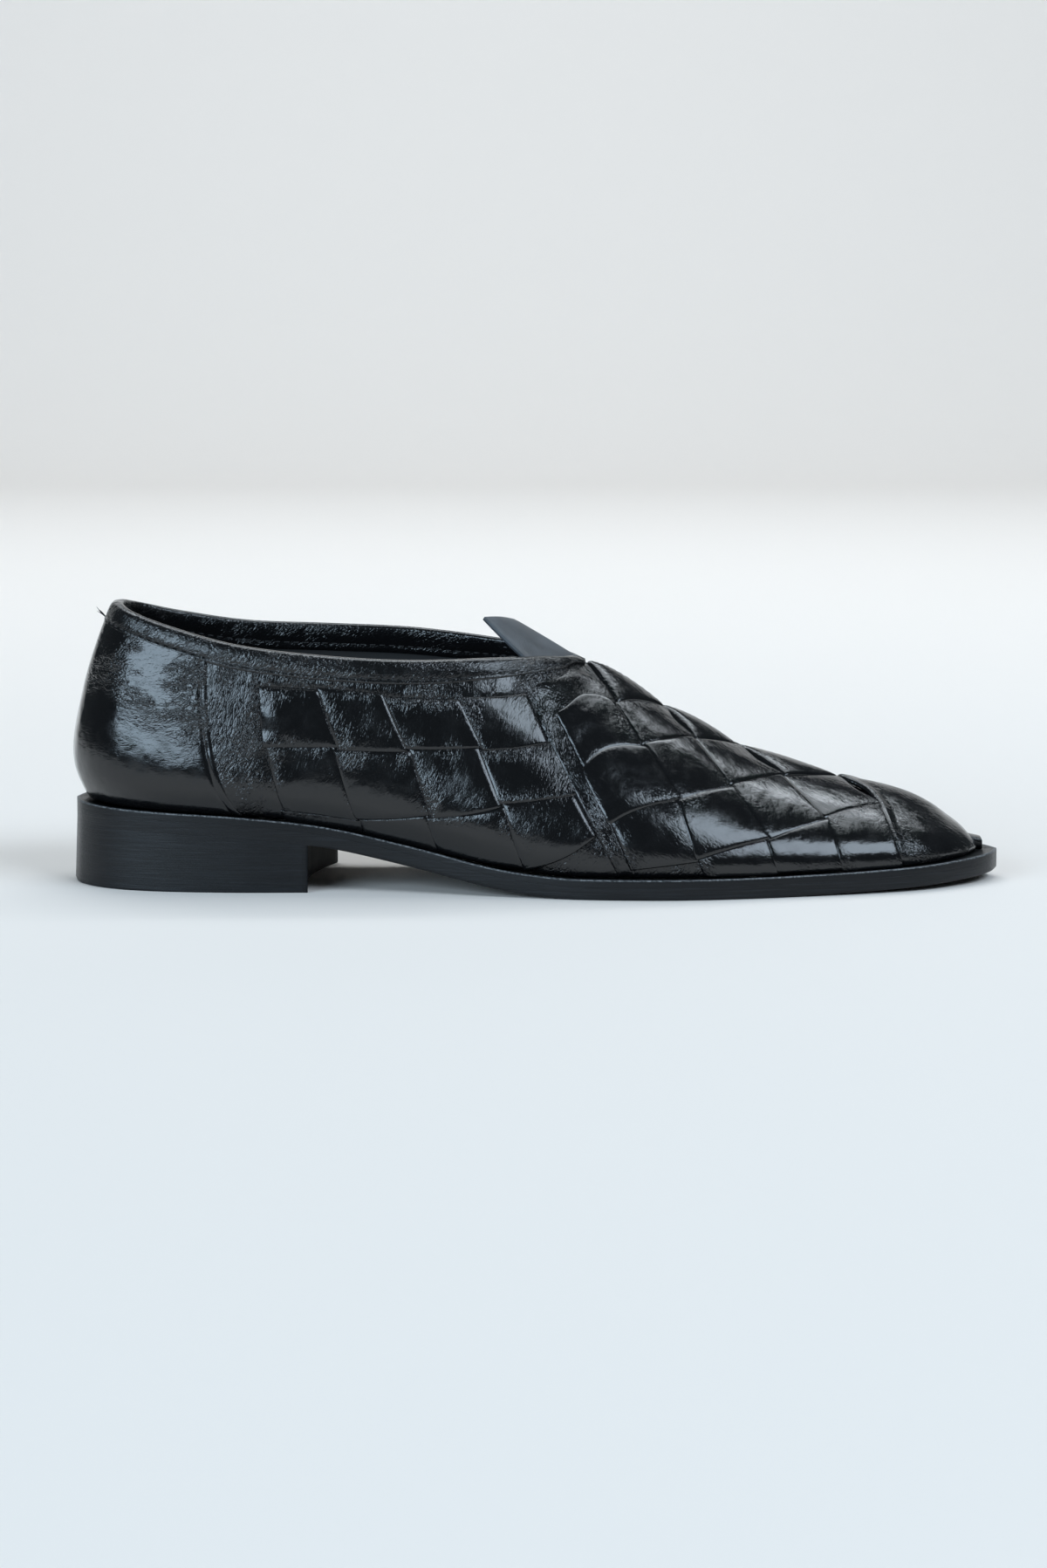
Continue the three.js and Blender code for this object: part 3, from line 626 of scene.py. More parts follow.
def sole_leather(name, rim):
    """Burnished sole edge with faint level lines; rim adds a painted highlight: a patchy light line along
    the welt's rounded rim
    """
    material, n, shader = new_material(name)
    place = object_millimetres(n)
    stretch = n.add("ShaderNodeVectorMath", {"operation": "MULTIPLY"}, i0=place)
    stretch.inputs[1].default_value = (0.06, 0.06, 2.2)
    lines = n.add("ShaderNodeTexNoise", Vector=stretch.outputs[0], Scale=1.0, Detail=4.0, Roughness=0.6)
    specks = n.add("ShaderNodeTexNoise", Vector=place, Scale=1.7, Detail=4.0, Roughness=0.7)
    height = n.math("ADD", lines.outputs["Fac"], n.math("MULTIPLY", specks.outputs["Fac"], 0.35))
    bump = n.add("ShaderNodeBump", Strength=0.7, Distance=0.10 * MM, Height=height)
    n.feed(shader, "Normal", bump.outputs["Normal"])
    colour = looks().sole_colour
    tint = n.add("ShaderNodeMix", {"data_type": "RGBA"})
    tint.inputs[MIX_FIRST].default_value = (*colour, 1)
    tint.inputs[MIX_SECOND].default_value = (*(looks().welt_highlight_colour if rim else [c * 2.0 for c in colour]), 1)
    # Painted highlight: patchy light colour on the welt's rim, where its glints would be
    if rim:
        rim_highlight = n.add("ShaderNodeAttribute", {"attribute_name": "rim_highlight"}).outputs["Fac"]
        patchy = n.ramp(specks.outputs["Fac"], 0.42, 0.62, 0.1, 1.0)
        n.feed(tint, "i0", n.math("MULTIPLY", rim_highlight, patchy))
    else:
        n.feed(tint, "i0", n.ramp(lines.outputs["Fac"], 0.4, 0.75))
    n.feed(shader, "Base Color", tint.outputs[MIX_RESULT])
    n.feed(shader, "Roughness", n.ramp(specks.outputs["Fac"], 0.3, 0.7, 0.3, 0.46))
    shader.inputs["Specular IOR Level"].default_value = 0.3
    return material


def sewing_thread(name):
    """Twisted black thread"""
    material, n, shader = new_material(name)
    place = object_millimetres(n)
    twist = n.add("ShaderNodeTexNoise", Vector=place, Scale=6.0, Detail=1.0)
    bump = n.add("ShaderNodeBump", Strength=0.8, Distance=0.05 * MM, Height=twist.outputs["Fac"])
    n.feed(shader, "Normal", bump.outputs["Normal"])
    shader.inputs["Base Color"].default_value = THREAD_COLOUR
    shader.inputs["Roughness"].default_value = 0.55
    return material


MAKERS = {
    "strip_leather": lambda name: glossy_leather(name, 1.1, 0.03, looks().upper_roughness),
    "panel_leather": lambda name: glossy_leather(name, 1.1, 0.08, looks().upper_roughness),
    "counter_leather": lambda name: glossy_leather(name, 1.0, 0.02, looks().upper_roughness),
    "band_leather": lambda name: glossy_leather(name, 0.8, 0.2, looks().upper_roughness + 0.06),
    "lining_leather": lambda name: satin_leather(name, looks().lining_colour, 0.5),
    "tab_leather": lambda name: satin_leather(name, looks().tab_colour, 0.42),
    "breast_leather": lambda name: satin_leather(name, looks().breast_colour, 0.8),
    "sole_edge": lambda name: sole_leather(name, False),
    "welt_edge": lambda name: sole_leather(name, True),
    "black_thread": sewing_thread,
}


def material_named(name):
    """The shoe's material of this name, made when it is first asked for"""
    if name not in bpy.data.materials:
        MAKERS[name](name)
    return bpy.data.materials[name]


# Sole, welt, heel and insole


def sole_loop(last, inset, level):
    """Points round the whole sole, moved in by inset"""
    outer, inner = (
        np.column_stack([last.sole_edge(np.full(len(level), side), SOLE_STATIONS, inset), level])
        for side in (-1.0, 1.0)
    )
    return np.concatenate([outer, inner[-2:0:-1]])


# Share of the sole's length, before and after the breast, over which the outsole's square lower
# edge turns round, and how far in from the welt's edge its painted highlight reaches
EDGE_EASE = 0.004
HIGHLIGHT_WIDTH = 0.9 * MM


def layer_piece(name, last, profile, base, material, hollow, highlight_from=None, heel_end=0.0):
    """Sole layer: profile of (inset, height) pairs swept round the edge, capped or left a ring; its
    lower edge is square as far as heel_end"""
    loops = []
    level = base(SOLE_STATIONS)
    for inset, height in profile:
        if heel_end and height < MM:
            along = last.column("x", SOLE_STATIONS)
            inset = inset * smooth_step(heel_end - EDGE_EASE, heel_end + EDGE_EASE, along)
        loops.append(sole_loop(last, inset, level + height))
    loops = np.array(loops)
    rows, around = loops.shape[:2]
    index = np.arange(rows * around).reshape(rows, around)
    faces = []
    last_row = rows if hollow else rows - 1
    for r in range(last_row):
        a, b = index[r], index[(r + 1) % rows]
        faces.extend(np.stack([a, np.roll(a, -1), np.roll(b, -1), b], axis=1).tolist())
    if not hollow:
        half = around // 2
        for row in (0, rows - 1):
            left = index[row][: half + 1]
            right = np.concatenate([index[row][:1], index[row][:half - 1:-1]])
            for k in range(half):
                face = [left[k], left[k + 1], right[k + 1], right[k]]
                faces.append(list(dict.fromkeys(int(p) for p in face)))
    values = None
    # Rows at the top of the welt's rim, near its edge, get the painted highlight
    if highlight_from is not None:
        rim_highlight = [1.0 if height >= highlight_from and inset < HIGHLIGHT_WIDTH else 0.0 for inset, height in profile]
        values = {"rim_highlight": np.repeat(rim_highlight, around)}
    return mesh_object(name, loops.reshape(-1, 3), faces, [material_named(material)], None, values)


def make_outsole(last):
    """Outsole with a rounded lower edge in front of the heel"""
    top = last.size.outsole + last.size.seat_gap - 0.01 * MM
    profile = [(m * MM, h * MM) for m, h in ((1.3, 0.0), (0.5, 0.03), (0.15, 0.2), (0.02, 0.6), (0.0, 1.2))]
    profile += [(0.0, top - 0.1 * MM), (0.0, top - 0.02 * MM), (0.02 * MM, top)]
    heel_end = last.size.heel_breast / last.size.sole_length
    return layer_piece(
        "outsole_dressed", last, profile, last.sole_bottom, "sole_edge", False, heel_end=heel_end)


def make_welt(last):
    """Ring of leather on the outsole, its rim rounded, with a painted highlight along the rim"""
    top = last.size.welt
    wide = last.size.welt_width

    def base(s):
        return last.sole_bottom(s) + last.size.outsole + last.size.seat_gap

    profile = [(0.02 * MM, 0.0), (0.0, 0.02 * MM), (0.0, 0.1 * MM), (0.0, top - 0.5 * MM)]
    profile += [(0.02 * MM, top - 0.3 * MM), (0.12 * MM, top - 0.06 * MM), (0.34 * MM, top)]
    profile += [(0.62 * MM, top - 0.03 * MM), (1.0 * MM, top - 0.2 * MM)]
    profile += [(wide, top - 0.2 * MM), (wide, 0.0)]
    return layer_piece("welt_dressed", last, profile, base, "welt_edge", True, highlight_from=top - 0.32 * MM)


BREAST_FACING = 0.7


def make_heel(last):
    """Heel block with a hollow breast that runs further forward inside"""
    size = last.size
    along, across = 60, 28
    levels = np.array([0.0, 0.008, 0.02, 0.04, 0.3, 0.6, 0.9, 0.9985, 1.0])
    insets = np.array([0.3, 0.08, 0.0, 0.0, 0.0, 0.0, 0.0, 0.0, 0.0]) * MM
    share = np.linspace(0, 1, across + 1)
    hollow = size.heel_hollow * 4 * share * (1 - share)
    grid = np.empty((along + 1, across + 1, len(levels), 3))
    for k, level in enumerate(levels):
        breast = size.heel_breast + size.heel_skew * (share - 0.5) - hollow - insets[k]
        ease = 1 - np.cos(np.linspace(0, 1, along + 1) * math.pi * 0.5)
        s = last.section_at(np.outer(ease, breast) / size.sole_length)
        inset = insets[k] - size.heel_flare * (1 - level)
        outer = last.sole_edge(np.full(s.shape, -1.0), s, inset)
        inner = last.sole_edge(np.full(s.shape, 1.0), s, inset)
        grid[:, :, k, :2] = outer + (inner - outer) * share[None, :, None]
        grid[:, :, k, 2] = (last.sole_bottom(s) - 0.01 * MM) * level
    skin = Skin()
    skin.add_block(grid)
    piece = skin.make("heel_dressed", [material_named("sole_edge"), material_named("breast_leather")])
    for face in piece.data.polygons:
        face.material_index = 1 if face.normal.x > BREAST_FACING else 0
    return piece


INSOLE_END = 0.93


def make_insole(last):
    """Insole board with a rounded front and raised edges"""
    size = last.size
    along, across = 60, 16
    s = np.linspace(0, last.section_at(INSOLE_END), along + 1)
    inset = size.welt_show * last.column("show", s) + size.upper_wall + 1.2 * size.seat_gap
    outer = last.sole_edge(np.full(len(s), -1.0), s, inset)
    inner = last.sole_edge(np.full(len(s), 1.0), s, inset)
    front = np.clip((np.linspace(0, 1, along + 1) - 0.85) / 0.15, 0, 1)
    taper = np.sqrt(np.clip(1 - front ** 2, 0, 1))
    middle = (outer + inner) / 2
    share = np.linspace(-1, 1, across + 1)
    reach = (inner - outer) / 2 * taper[:, None]
    grid = np.empty((along + 1, across + 1, 2, 3))
    grid[..., :2] = (middle[:, None] + reach[:, None] * share[None, :, None])[:, :, None]
    low = last.welt_top(s) + size.seat_gap
    dish = 0.6 * MM * (share ** 2)[None, :]
    grid[..., 0, 2] = low[:, None]
    grid[..., 1, 2] = (low + size.insole - 0.5 * MM)[:, None] + dish
    skin = Skin()
    skin.add_block(grid)
    return skin.make("insole_dressed", [material_named("lining_leather")])


# Upper


def line_at(v, pairs):
    """x of a line at height share v, from (x, v) pairs listed from the top down"""
    xs, vs = zip(*sorted(pairs, key=lambda pair: pair[1]))
    return np.interp(v, vs, xs)


COUNTER_SEAM = 0.149
COUNTER_SPREAD = 0.04


def seam_x(v):
    """Front edge of the counter, leaning forward at the foot"""
    return COUNTER_SEAM + COUNTER_SPREAD * (1 - np.asarray(v) / 0.9) ** 2


def panel_height(x, v):
    """Height of the plain panels over the wall, low where the weave lies on it"""
    back = 1 - smooth_step(-0.004, 0.006, x - line_at(v, [row[0] for row in QUARTER_LINES]))
    rail_v = np.interp(x, *zip(*QUARTER_LINES[0]))
    rail = smooth_step(-0.012, 0.012, v - rail_v) * (1 - smooth_step(0.52, 0.56, x))
    return (0.1 + 0.7 * np.maximum(back, rail)) * MM


# Creases of the walls: from and to as (x, v), half width and depth in millimetres;
# a negative depth is a ridge
CREASES = (
    ((0.224, 0.84), (0.226, 0.55), 3.2, -0.55),
    ((0.185, 0.70), (0.245, 0.57), 2.2, 0.45),
    ((0.190, 0.50), (0.240, 0.66), 1.8, -0.35),
    ((0.215, 0.40), (0.260, 0.52), 1.8, 0.4),
    ((0.505, 0.55), (0.560, 0.31), 2.2, 0.5),
    ((0.520, 0.30), (0.575, 0.42), 2.5, -0.5),
    ((0.545, 0.50), (0.590, 0.62), 2.0, 0.4),
    ((0.560, 0.12), (0.620, 0.30), 2.6, 0.5),
    ((0.600, 0.48), (0.650, 0.34), 2.4, 0.35),
    ((0.120, 0.66), (0.150, 0.50), 2.0, 0.25),
)


def crease_height(last, x, v):
    """Soft troughs and ridges summed at a place"""
    total = np.zeros(np.broadcast(x, v).shape)
    across = last.size.sole_length
    tall = last.size.upper_height * 0.85
    for (x0, v0), (x1, v1), width, depth in CREASES:
        ax, az = x0 * across, v0 * tall
        dx, dz = x1 * across - ax, v1 * tall - az
        length = math.hypot(dx, dz)
        t = np.clip(((x * across - ax) * dx + (v * tall - az) * dz) / length ** 2, 0, 1)
        away = np.hypot(x * across - ax - t * dx, v * tall - az - t * dz) / (width * MM)
        total -= depth * MM * np.exp(-away ** 2) * (0.35 + 0.65 * np.sin(math.pi * np.clip(t, 0.05, 0.95)))
    return total


SWELL = 1.1 * MM
THINNEST = 0.1 * MM


def foot_swell(x, v):
    """Fullness of the last's walls low down, from the heel to the waist"""
    rear = 1 - smooth_step(0.42, 0.6, x)
    return SWELL * rear * smooth_step(0.0, 0.22, v) * (1 - smooth_step(0.24, 0.56, v))


# Openings between strips beside the ridge, from and to as (x, v)
GAPS = (((0.838, 0.95), (0.864, 0.76)), ((0.655, 0.95), (0.668, 0.86)), ((0.728, 0.95), (0.752, 0.86)))


def gap_mask(last, x, v):
    """Where the wall is open between strips"""
    tall = last.tall_at(x)
    is_open = np.zeros(x.shape, dtype=bool)
    for (x0, v0), (x1, v1) in GAPS:
        dx, dv = (x1 - x0) * last.size.sole_length, (v1 - v0) * tall
        px, pv = (x - x0) * last.size.sole_length, (v - v0) * tall
        t = np.clip((px * dx + pv * dv) / (dx * dx + dv * dv), 0, 1)
        away = np.hypot(px - t * dx, pv - t * dv)
        is_open |= away < last.size.gap_width * 0.62
    return is_open


def make_wall(last):
    """Upper's wall: plain panels outside, lining inside, open underneath and at the collar"""
    stations = np.linspace(0, LAST_SECTION, LAST_SECTION * 10 + 1)
    heights = np.concatenate([np.linspace(0, 0.1, 5)[:-1], np.linspace(0.1, 1, 44)])
    s, v = np.meshgrid(stations, heights, indexing="ij")
    x = last.column("x", s)
    points, faces, kinds, crease, grain = [], [], [], [], []
    count = 0
    open_rows = int(np.searchsorted(stations, THROAT_SECTION))
    lift = panel_height(x, v) + crease_height(last, x, v) + foot_swell(x, v)
    lift *= smooth_step(0.0, 0.04, v) * np.where(s < THROAT_SECTION, 1.0, 1 - smooth_step(0.9, 1.0, v))
    crumpled = 0.35 + 0.65 * np.exp(-((x - 0.215) / 0.035) ** 2) + 0.4 * smooth_step(0.8, 0.86, v)
    covered = ~gap_mask(last, (x[:-1, :-1] + x[1:, 1:]) / 2, (v[:-1, :-1] + v[1:, 1:]) / 2).ravel()
    for side in (-1.0, 1.0):
        rims = []
        skins = (last.raised(side, s, v, lift), last.point(side, s, v, last.size.upper_wall))
        for kind, skin in enumerate(skins):
            index = np.arange(skin.shape[0] * skin.shape[1]).reshape(skin.shape[:2]) + count
            quads = np.stack([index[:-1, :-1], index[1:, :-1], index[1:, 1:], index[:-1, 1:]], axis=-1)
            kept = quads.reshape(-1, 4)[covered]
            faces.extend(kept.tolist())
            kinds.extend([kind] * len(kept))
            points.append(skin.reshape(-1, 3))
            grain.append(grain_place(last, x, v, 75 if kind == 0 else 0, side).reshape(-1, 3))
            crease.append(np.clip(crumpled, 0, 1).reshape(-1))
            rims.append(index)
            count += index.size
        outer, inner = rims
        for k in range(len(stations) - 1):
            faces.append([int(p) for p in (outer[k, 0], outer[k + 1, 0], inner[k + 1, 0], inner[k, 0])])
            kinds.append(1)
            if k < open_rows:
                rim = (outer[k, -1], outer[k + 1, -1], inner[k + 1, -1], inner[k, -1])
                faces.append([int(p) for p in rim])
                kinds.append(0)
    materials = [material_named("panel_leather"), material_named("lining_leather")]
    values = {"crease": np.concatenate(crease), "grain": np.concatenate(grain)}
    return mesh_object("upper_wall", np.concatenate(points), faces, materials, kinds, values)


def vamp_corner(fall, climb):
    """Crossing of a falling and a climbing line, v over 1 on the inner side"""
    row = VAMP_LINES[max(fall, climb)] if max(fall, climb) >= 0 else ()
    column = min(fall, climb) + 1
    if column >= len(row) or row[column] is None:
        return None
    x, v = row[column]
    return (x, v) if climb >= fall else (x, 2 - v)


class Cell:
    """One crossing of the weave: its four corners, and the way that the strip on top runs"""

    def __init__(self, group, side, corners, runs_along):
        self.group = group
        self.side = side
        self.corners = corners
        self.runs_along = runs_along
        self.arch = 0.0
        self.open_high = False
        self.open_low = False
        self.degrees = 68


def weave_cells():
    """All cells of the vamp in front of the throat and of both quarters"""
    cells = []
    lines = len(VAMP_LINES)
    for fall in range(-1, lines - 1):
        for climb in range(-1, lines - 1):
            corners = [vamp_corner(fall, climb + 1), vamp_corner(fall + 1, climb + 1),
                       vamp_corner(fall + 1, climb), vamp_corner(fall, climb)]
            if any(corner is None for corner in corners):
                continue
            if min(fall, climb) >= TOE_CELL:
                continue
            inner = all(v >= 1 for _, v in corners)
            if inner:
                corners = [(x, 2 - v) for x, v in corners]
            cell = Cell("vamp", 1 if inner else -1, corners, (fall - climb) % 2 == 0)
            cell.arch = 1.0 if fall == climb else 0.0
            cell.open_high = climb == fall + 1 and climb >= 1
            cell.open_low = fall == climb + 1 and fall >= 1
            cell.degrees = -52 if inner or climb > fall else -40
            cells.append(cell)
    for row in range(len(QUARTER_LINES) - 1):
        for col in range(len(QUARTER_LINES[row]) - 1):
            high, low = QUARTER_LINES[row], QUARTER_LINES[row + 1]
            corners = [low[col], low[col + 1], high[col + 1], high[col]]
            for side in (-1, 1):
                cells.append(Cell("quarter", side, corners, (row + col) % 2 == 1))
    return cells


EDGE_STEPS = np.array([0.0, 0.008, 0.022, 0.05, 0.1])
ACROSS = np.concatenate([EDGE_STEPS, np.linspace(0.18, 0.82, 9), 1 - EDGE_STEPS[::-1]])
# Millimetres below a strip's top at its cut edge and at the next three points inwards
EDGE_ROUND = (0.42, 0.2, 0.06, 0.0)
EDGE_DROP = np.interp(np.minimum(ACROSS, 1 - ACROSS), EDGE_STEPS[:4], EDGE_ROUND) * MM
TUCK = 0.09
ENDS = np.array([0.0, 0.02, 0.045, 0.08, 0.12, 0.17])
ALONG = np.concatenate([[-TUCK, -TUCK / 2], ENDS, np.linspace(0.24, 0.76, 9), 1 - ENDS[::-1],
                        [1 + TUCK / 2, 1 + TUCK]])
EDGE_LAP = 0.035
GAP_LENS = 0.11
END_DIP = {"vamp": 0.6 * MM, "quarter": 0.85 * MM}
END_SHARPNESS = 22
STRIP_CROWN = 0.30 * MM
STRIP_TILT = 0.14 * MM
STRIP_BOW = 0.010
LOWEST = -0.75 * MM
CRINKLED = {"vamp": 0.45, "quarter": 1.0}


def strip_block(last, cell, number):
    """Strip on top of one cell: crowned, bent down at the two ends where it goes under. Its number
    gives it a bow, tilt and crumpled corner of its own, the same each time"""
    a, b, c, d = (np.array(corner) for corner in cell.corners)
    if not cell.runs_along:
        a, b, c, d = b, c, d, a
    wave = math.sin(number * 2.4)
    sway = math.sin(number * 5.1 + 1.0)
    p, q = np.meshgrid(ALONG, ACROSS, indexing="ij")
    inside = np.clip(p, 0, 1)
    bow = STRIP_BOW * wave * np.sin(math.pi * inside)
    lens = GAP_LENS * np.sin(math.pi * inside) ** 2
    wide = -EDGE_LAP + (1 + 2 * EDGE_LAP) * q + bow
    if cell.open_high:
        wide = wide + lens * (1 - q) ** 2
    if cell.open_low:
        wide = wide - lens * q ** 2
    low = a + (b - a) * p[..., None]
    high = d + (c - d) * p[..., None]
    place = low + (high - low) * wide[..., None]
    x, v = place[..., 0], np.maximum(place[..., 1], 0.0)
    far = np.abs(2 * p - 1)
    bend = last.size.strip_rise * (1.0 + 0.08 * wave) - END_DIP[cell.group] * far ** END_SHARPNESS
    crown = STRIP_CROWN * (1 - (2 * q - 1) ** 2) * (1 - 0.5 * far ** 4)
    arch = last.size.ridge_arch * cell.arch * np.sqrt(16 * inside * (1 - inside) * q * (1 - q))
    tilt = STRIP_TILT * sway * (2 * q - 1)
    top = np.maximum(bend + crown + tilt + arch, LOWEST) - EDGE_DROP[None, :]
    top = top + 0.6 * crease_height(last, x, v) + foot_swell(x, v)
    bottom = np.minimum(top - THINNEST, top + EDGE_DROP[None, :] - last.size.strip_thickness)
    grid = last.sheet(cell.side, last.section_at(x), v, bottom, top)
    strong = 1 if sway > 0 else -1
    ends = smooth_step(0.3, 1.0, far) * np.where(strong * (p - 0.5) > 0, 1.0, 0.35)
    edges = 1 - smooth_step(0.0, 0.2, np.where(strong > 0, q, 1 - q))
    crease = np.clip(0.05 + 0.95 * np.maximum(ends, 0.5 * edges), 0, 1)
    grain = grain_place(last, x, v, cell.degrees, number)
    return grid, crease, grain


def make_strips(last, kind):
    """All strips of the vamp's or the quarters' weave as one piece"""
    skin = Skin()
    for number, cell in enumerate(weave_cells()):
        if cell.group == kind:
            grid, crease, grain = strip_block(last, cell, number)
            shade = CRINKLED[kind] * (0.75 + 0.25 * math.sin(number * 3.7))
            skin.add_sheet(grid, crease * shade, grain)
    return skin.make(kind + "_strips", [material_named("strip_leather")])


# Edges of the plain vamp panel from the foot up to the band, as (x, v)
PANEL_REAR = ((0.585, 0.0), (0.563, 0.185), (0.543, 0.35), (0.513, 0.58), (0.491, 0.805), (0.478, 0.955))
PANEL_FRONT = (
    (0.600, 0.0), (0.597, 0.04), (0.580, 0.22), (0.555, 0.44), (0.524, 0.675), (0.560, 0.71), (0.604, 0.76),
    (0.594, 0.88), (0.585, 1.0),
)


def make_vamp_panel(last):
    """Plain panel between the quarter's weave and the vamp's, its front edge crisp"""
    v = np.concatenate([
        np.linspace(0.0, 0.64, 33), np.linspace(0.65, 0.77, 19), np.linspace(0.79, 0.97, 9)])
    edge = np.array([0.0, 0.006, 0.018, 0.04, 0.08])
    q = np.concatenate([[-0.06, 0.0, 0.05], np.linspace(0.12, 0.88, 13), 1 - edge[::-1]])
    v, q = np.meshgrid(v, q, indexing="ij")
    rear = line_at(v, PANEL_REAR)
    front = line_at(v, PANEL_FRONT)
    x = rear + (front - rear) * q
    drop = np.interp(1 - q, edge[:4], EDGE_ROUND) * MM
    rise = 1.1 * MM * smooth_step(-0.06, 0.14, q) - drop - 0.1 * MM
    fade = smooth_step(0.0, 0.04, v) * (1 - 0.75 * smooth_step(0.83, 0.89, v))
    top = rise * fade + 0.8 * crease_height(last, x, v) + foot_swell(x, v)
    bottom = np.minimum(top - THINNEST, -THINNEST)
    crease = np.clip(0.1 + 0.75 * np.exp(-((q - 0.05) / 0.22) ** 2) + 0.2 * (1 - v), 0, 1)
    skin = Skin()
    for side in (-1.0, 1.0):
        grid = last.sheet(side, last.section_at(x), v, bottom, top)
        skin.add_sheet(grid, crease, grain_place(last, x, v, -62, 5 + side))
    return skin.make("vamp_panel", [material_named("panel_leather")])


def toe_cap_edge():
    """Rear edge of the toe cap: the third falling line, the same on the inner side"""
    outer = [VAMP_LINES[row][TOE_CELL + 1] for row in (5, 4, 3)]
    heights = np.array([v for _, v in outer] + [2 - v for _, v in outer[-2::-1]])
    places = np.array([x for x, _ in outer] + [x for x, _ in outer[-2::-1]])
    return places, heights


def make_toe_cap(last):
    """Smooth last strips of the vamp as one piece, with a rolled edge at the gap"""
    places, heights = toe_cap_edge()
    edge = np.array([0.0, 0.004, 0.012, 0.025, 0.045, 0.07, 0.10, 0.14])
    p = np.concatenate([edge, np.linspace(0.2, 1, 30)])
    w = np.concatenate([[0.0, 0.01, 0.03], np.linspace(0.06, 1.94, 61), [1.97, 1.99, 2.0]])
    p, w = np.meshgrid(p, w, indexing="ij")
    beside = np.abs(1 - w)
    rear = np.interp(w, heights, places) - 0.004 * np.sin(math.pi * beside)
    rear = rear + 0.007 * np.exp(-((beside - 0.17) / 0.09) ** 2)
    x = rear + (1.0 - rear) * p
    side = np.where(w <= 1, -1.0, 1.0)
    v = np.where(w <= 1, w, 2 - w)
    s = np.minimum(last.section_at(x), LAST_SECTION - 0.02)
    away = (x - rear) * last.size.sole_length / MM
    lip = 0.55 * MM * np.exp(-((away - 1.1) / 1.0) ** 2)
    drop = MM * np.interp(away, [0.0, 0.12, 0.4, 0.9], [0.55, 0.25, 0.06, 0.0])
    behind_toe = np.clip((x - 0.82) / 0.13, 0, 1)
    arch = last.size.ridge_arch * np.sin(math.pi * behind_toe) * smooth_step(0.55, 1.0, v)
    level = 0.95 * MM + lip * smooth_step(0.0, 0.3, v) + arch
    fade = (1 - 0.6 * smooth_step(0.93, 0.985, x)) * (0.5 + 0.5 * smooth_step(0.0, 0.10, v))
    top = level * fade - drop
    bottom = np.minimum(top - THINNEST, level * fade - last.size.strip_thickness * 1.1)
    crease = np.clip(0.12 + 0.3 * np.exp(-away / 4) + 0.3 * (1 - smooth_step(0.0, 0.35, v)), 0, 1)
    skin = Skin()
    skin.add_sheet(last.sheet(side, s, v, bottom, top), crease, grain_place(last, x, v, -35, 3))
    return skin.make("toe_cap", [material_named("strip_leather")])


# Cut strip end on the welt in front of the toe, in millimetres: back from the sole's tip, y, height
STRIP_END = ((10.5, 4.6), (-0.5, 6.5), (0.0, 4.2))


def make_strip_end(last):
    """Short cut end of a strip that shows in front of the toe cap"""
    (back, front), (near, far), (low, high) = STRIP_END
    edge = np.array([0.0, 0.05, 0.13])
    share = np.concatenate([edge, [0.35, 0.65], 1 - edge[::-1]])
    a, b, c = np.meshgrid(share, share, [0.0, 0.5, 0.85, 0.95, 1.0], indexing="ij")
    tip = (last.size.sole_length + last.size.heel_flare) / 2
    soft = np.interp(c, [0.0, 0.85, 0.95, 1.0], [0.0, 0.0, 0.05, 0.14])
    a = 0.5 + (a - 0.5) * (1 - soft)
    b = 0.5 + (b - 0.5) * (1 - soft)
    x = tip - (back + (front - back) * a) * MM
    y = (near + (far - near) * b) * MM
    slope = 1 - 0.30 * a + 0.12 * np.sin(math.pi * b)
    z = last.welt_top(np.array(LAST_SECTION - 0.5)) + (low + (high - low) * c * slope) * MM
    skin = Skin()
    skin.add_block(np.stack([x, y, z], axis=-1), {
        "crease": np.full(a.shape, 0.3),
        "grain": np.stack([a * 6, b * 8, c * 4], axis=-1),
    })
    return skin.make("strip_end", [material_named("strip_leather")])


# Cut edge and seam groove of the counter, in millimetres: distance from the edge and depth
COUNTER_DIPS = np.array([
    (0.0, 0.6), (0.1, 0.2), (0.3, 0.03), (0.55, 0.0), (0.8, 0.03), (0.95, 0.22), (1.1, 0.36),
    (1.25, 0.22), (1.4, 0.03), (1.65, 0.0), (2.2, 0.0), (3.0, 0.0), (3.8, 0.0),
])
COUNTER_FOOT = 0.004


def make_counter(last):
    """Back panel round the heel, a double seam near its front edge"""
    seam = COUNTER_SEAM * last.size.sole_length / MM
    near, dips = COUNTER_DIPS.T
    half = np.concatenate([1 - near / seam, np.linspace(0.87, 0, 50)])
    t = np.concatenate([-half, half[-2::-1]])
    drop = np.interp(seam * (1 - np.abs(t)), near, dips)
    side = np.where(t < 0, 1.0, -1.0)
    q = np.linspace(0, 1, 49)
    limit = last.below_topline(side, last.section_at(COUNTER_SEAM * np.abs(t)), last.size.band_height * 0.7)
    v = COUNTER_FOOT + (limit[:, None] - COUNTER_FOOT) * q[None, :]
    s = last.section_at(seam_x(v)) * np.abs(t)[:, None]
    x = last.column("x", s)
    over = (last.size.seat_gap + last.size.counter_thickness + 0.15 * MM) - drop[:, None] * MM
    over = over - 0.5 * MM * (1 - smooth_step(0.0, 0.02, v)) + crease_height(last, x, v) + foot_swell(x, v)
    sides = np.repeat(side[:, None], len(q), axis=1)
    grid = last.sheet(sides, s, v, np.full(s.shape, 0.02 * MM), over)
    crease = np.clip(0.03 + 0.8 * smooth_step(0.5, 0.72, v + 0.6 * (x - 0.08)), 0, 1)
    skin = Skin()
    skin.add_sheet(grid, crease, grain_place(last, x * 1.15, v, 8, 1))
    return skin.make("counter_dressed", [material_named("counter_leather")])


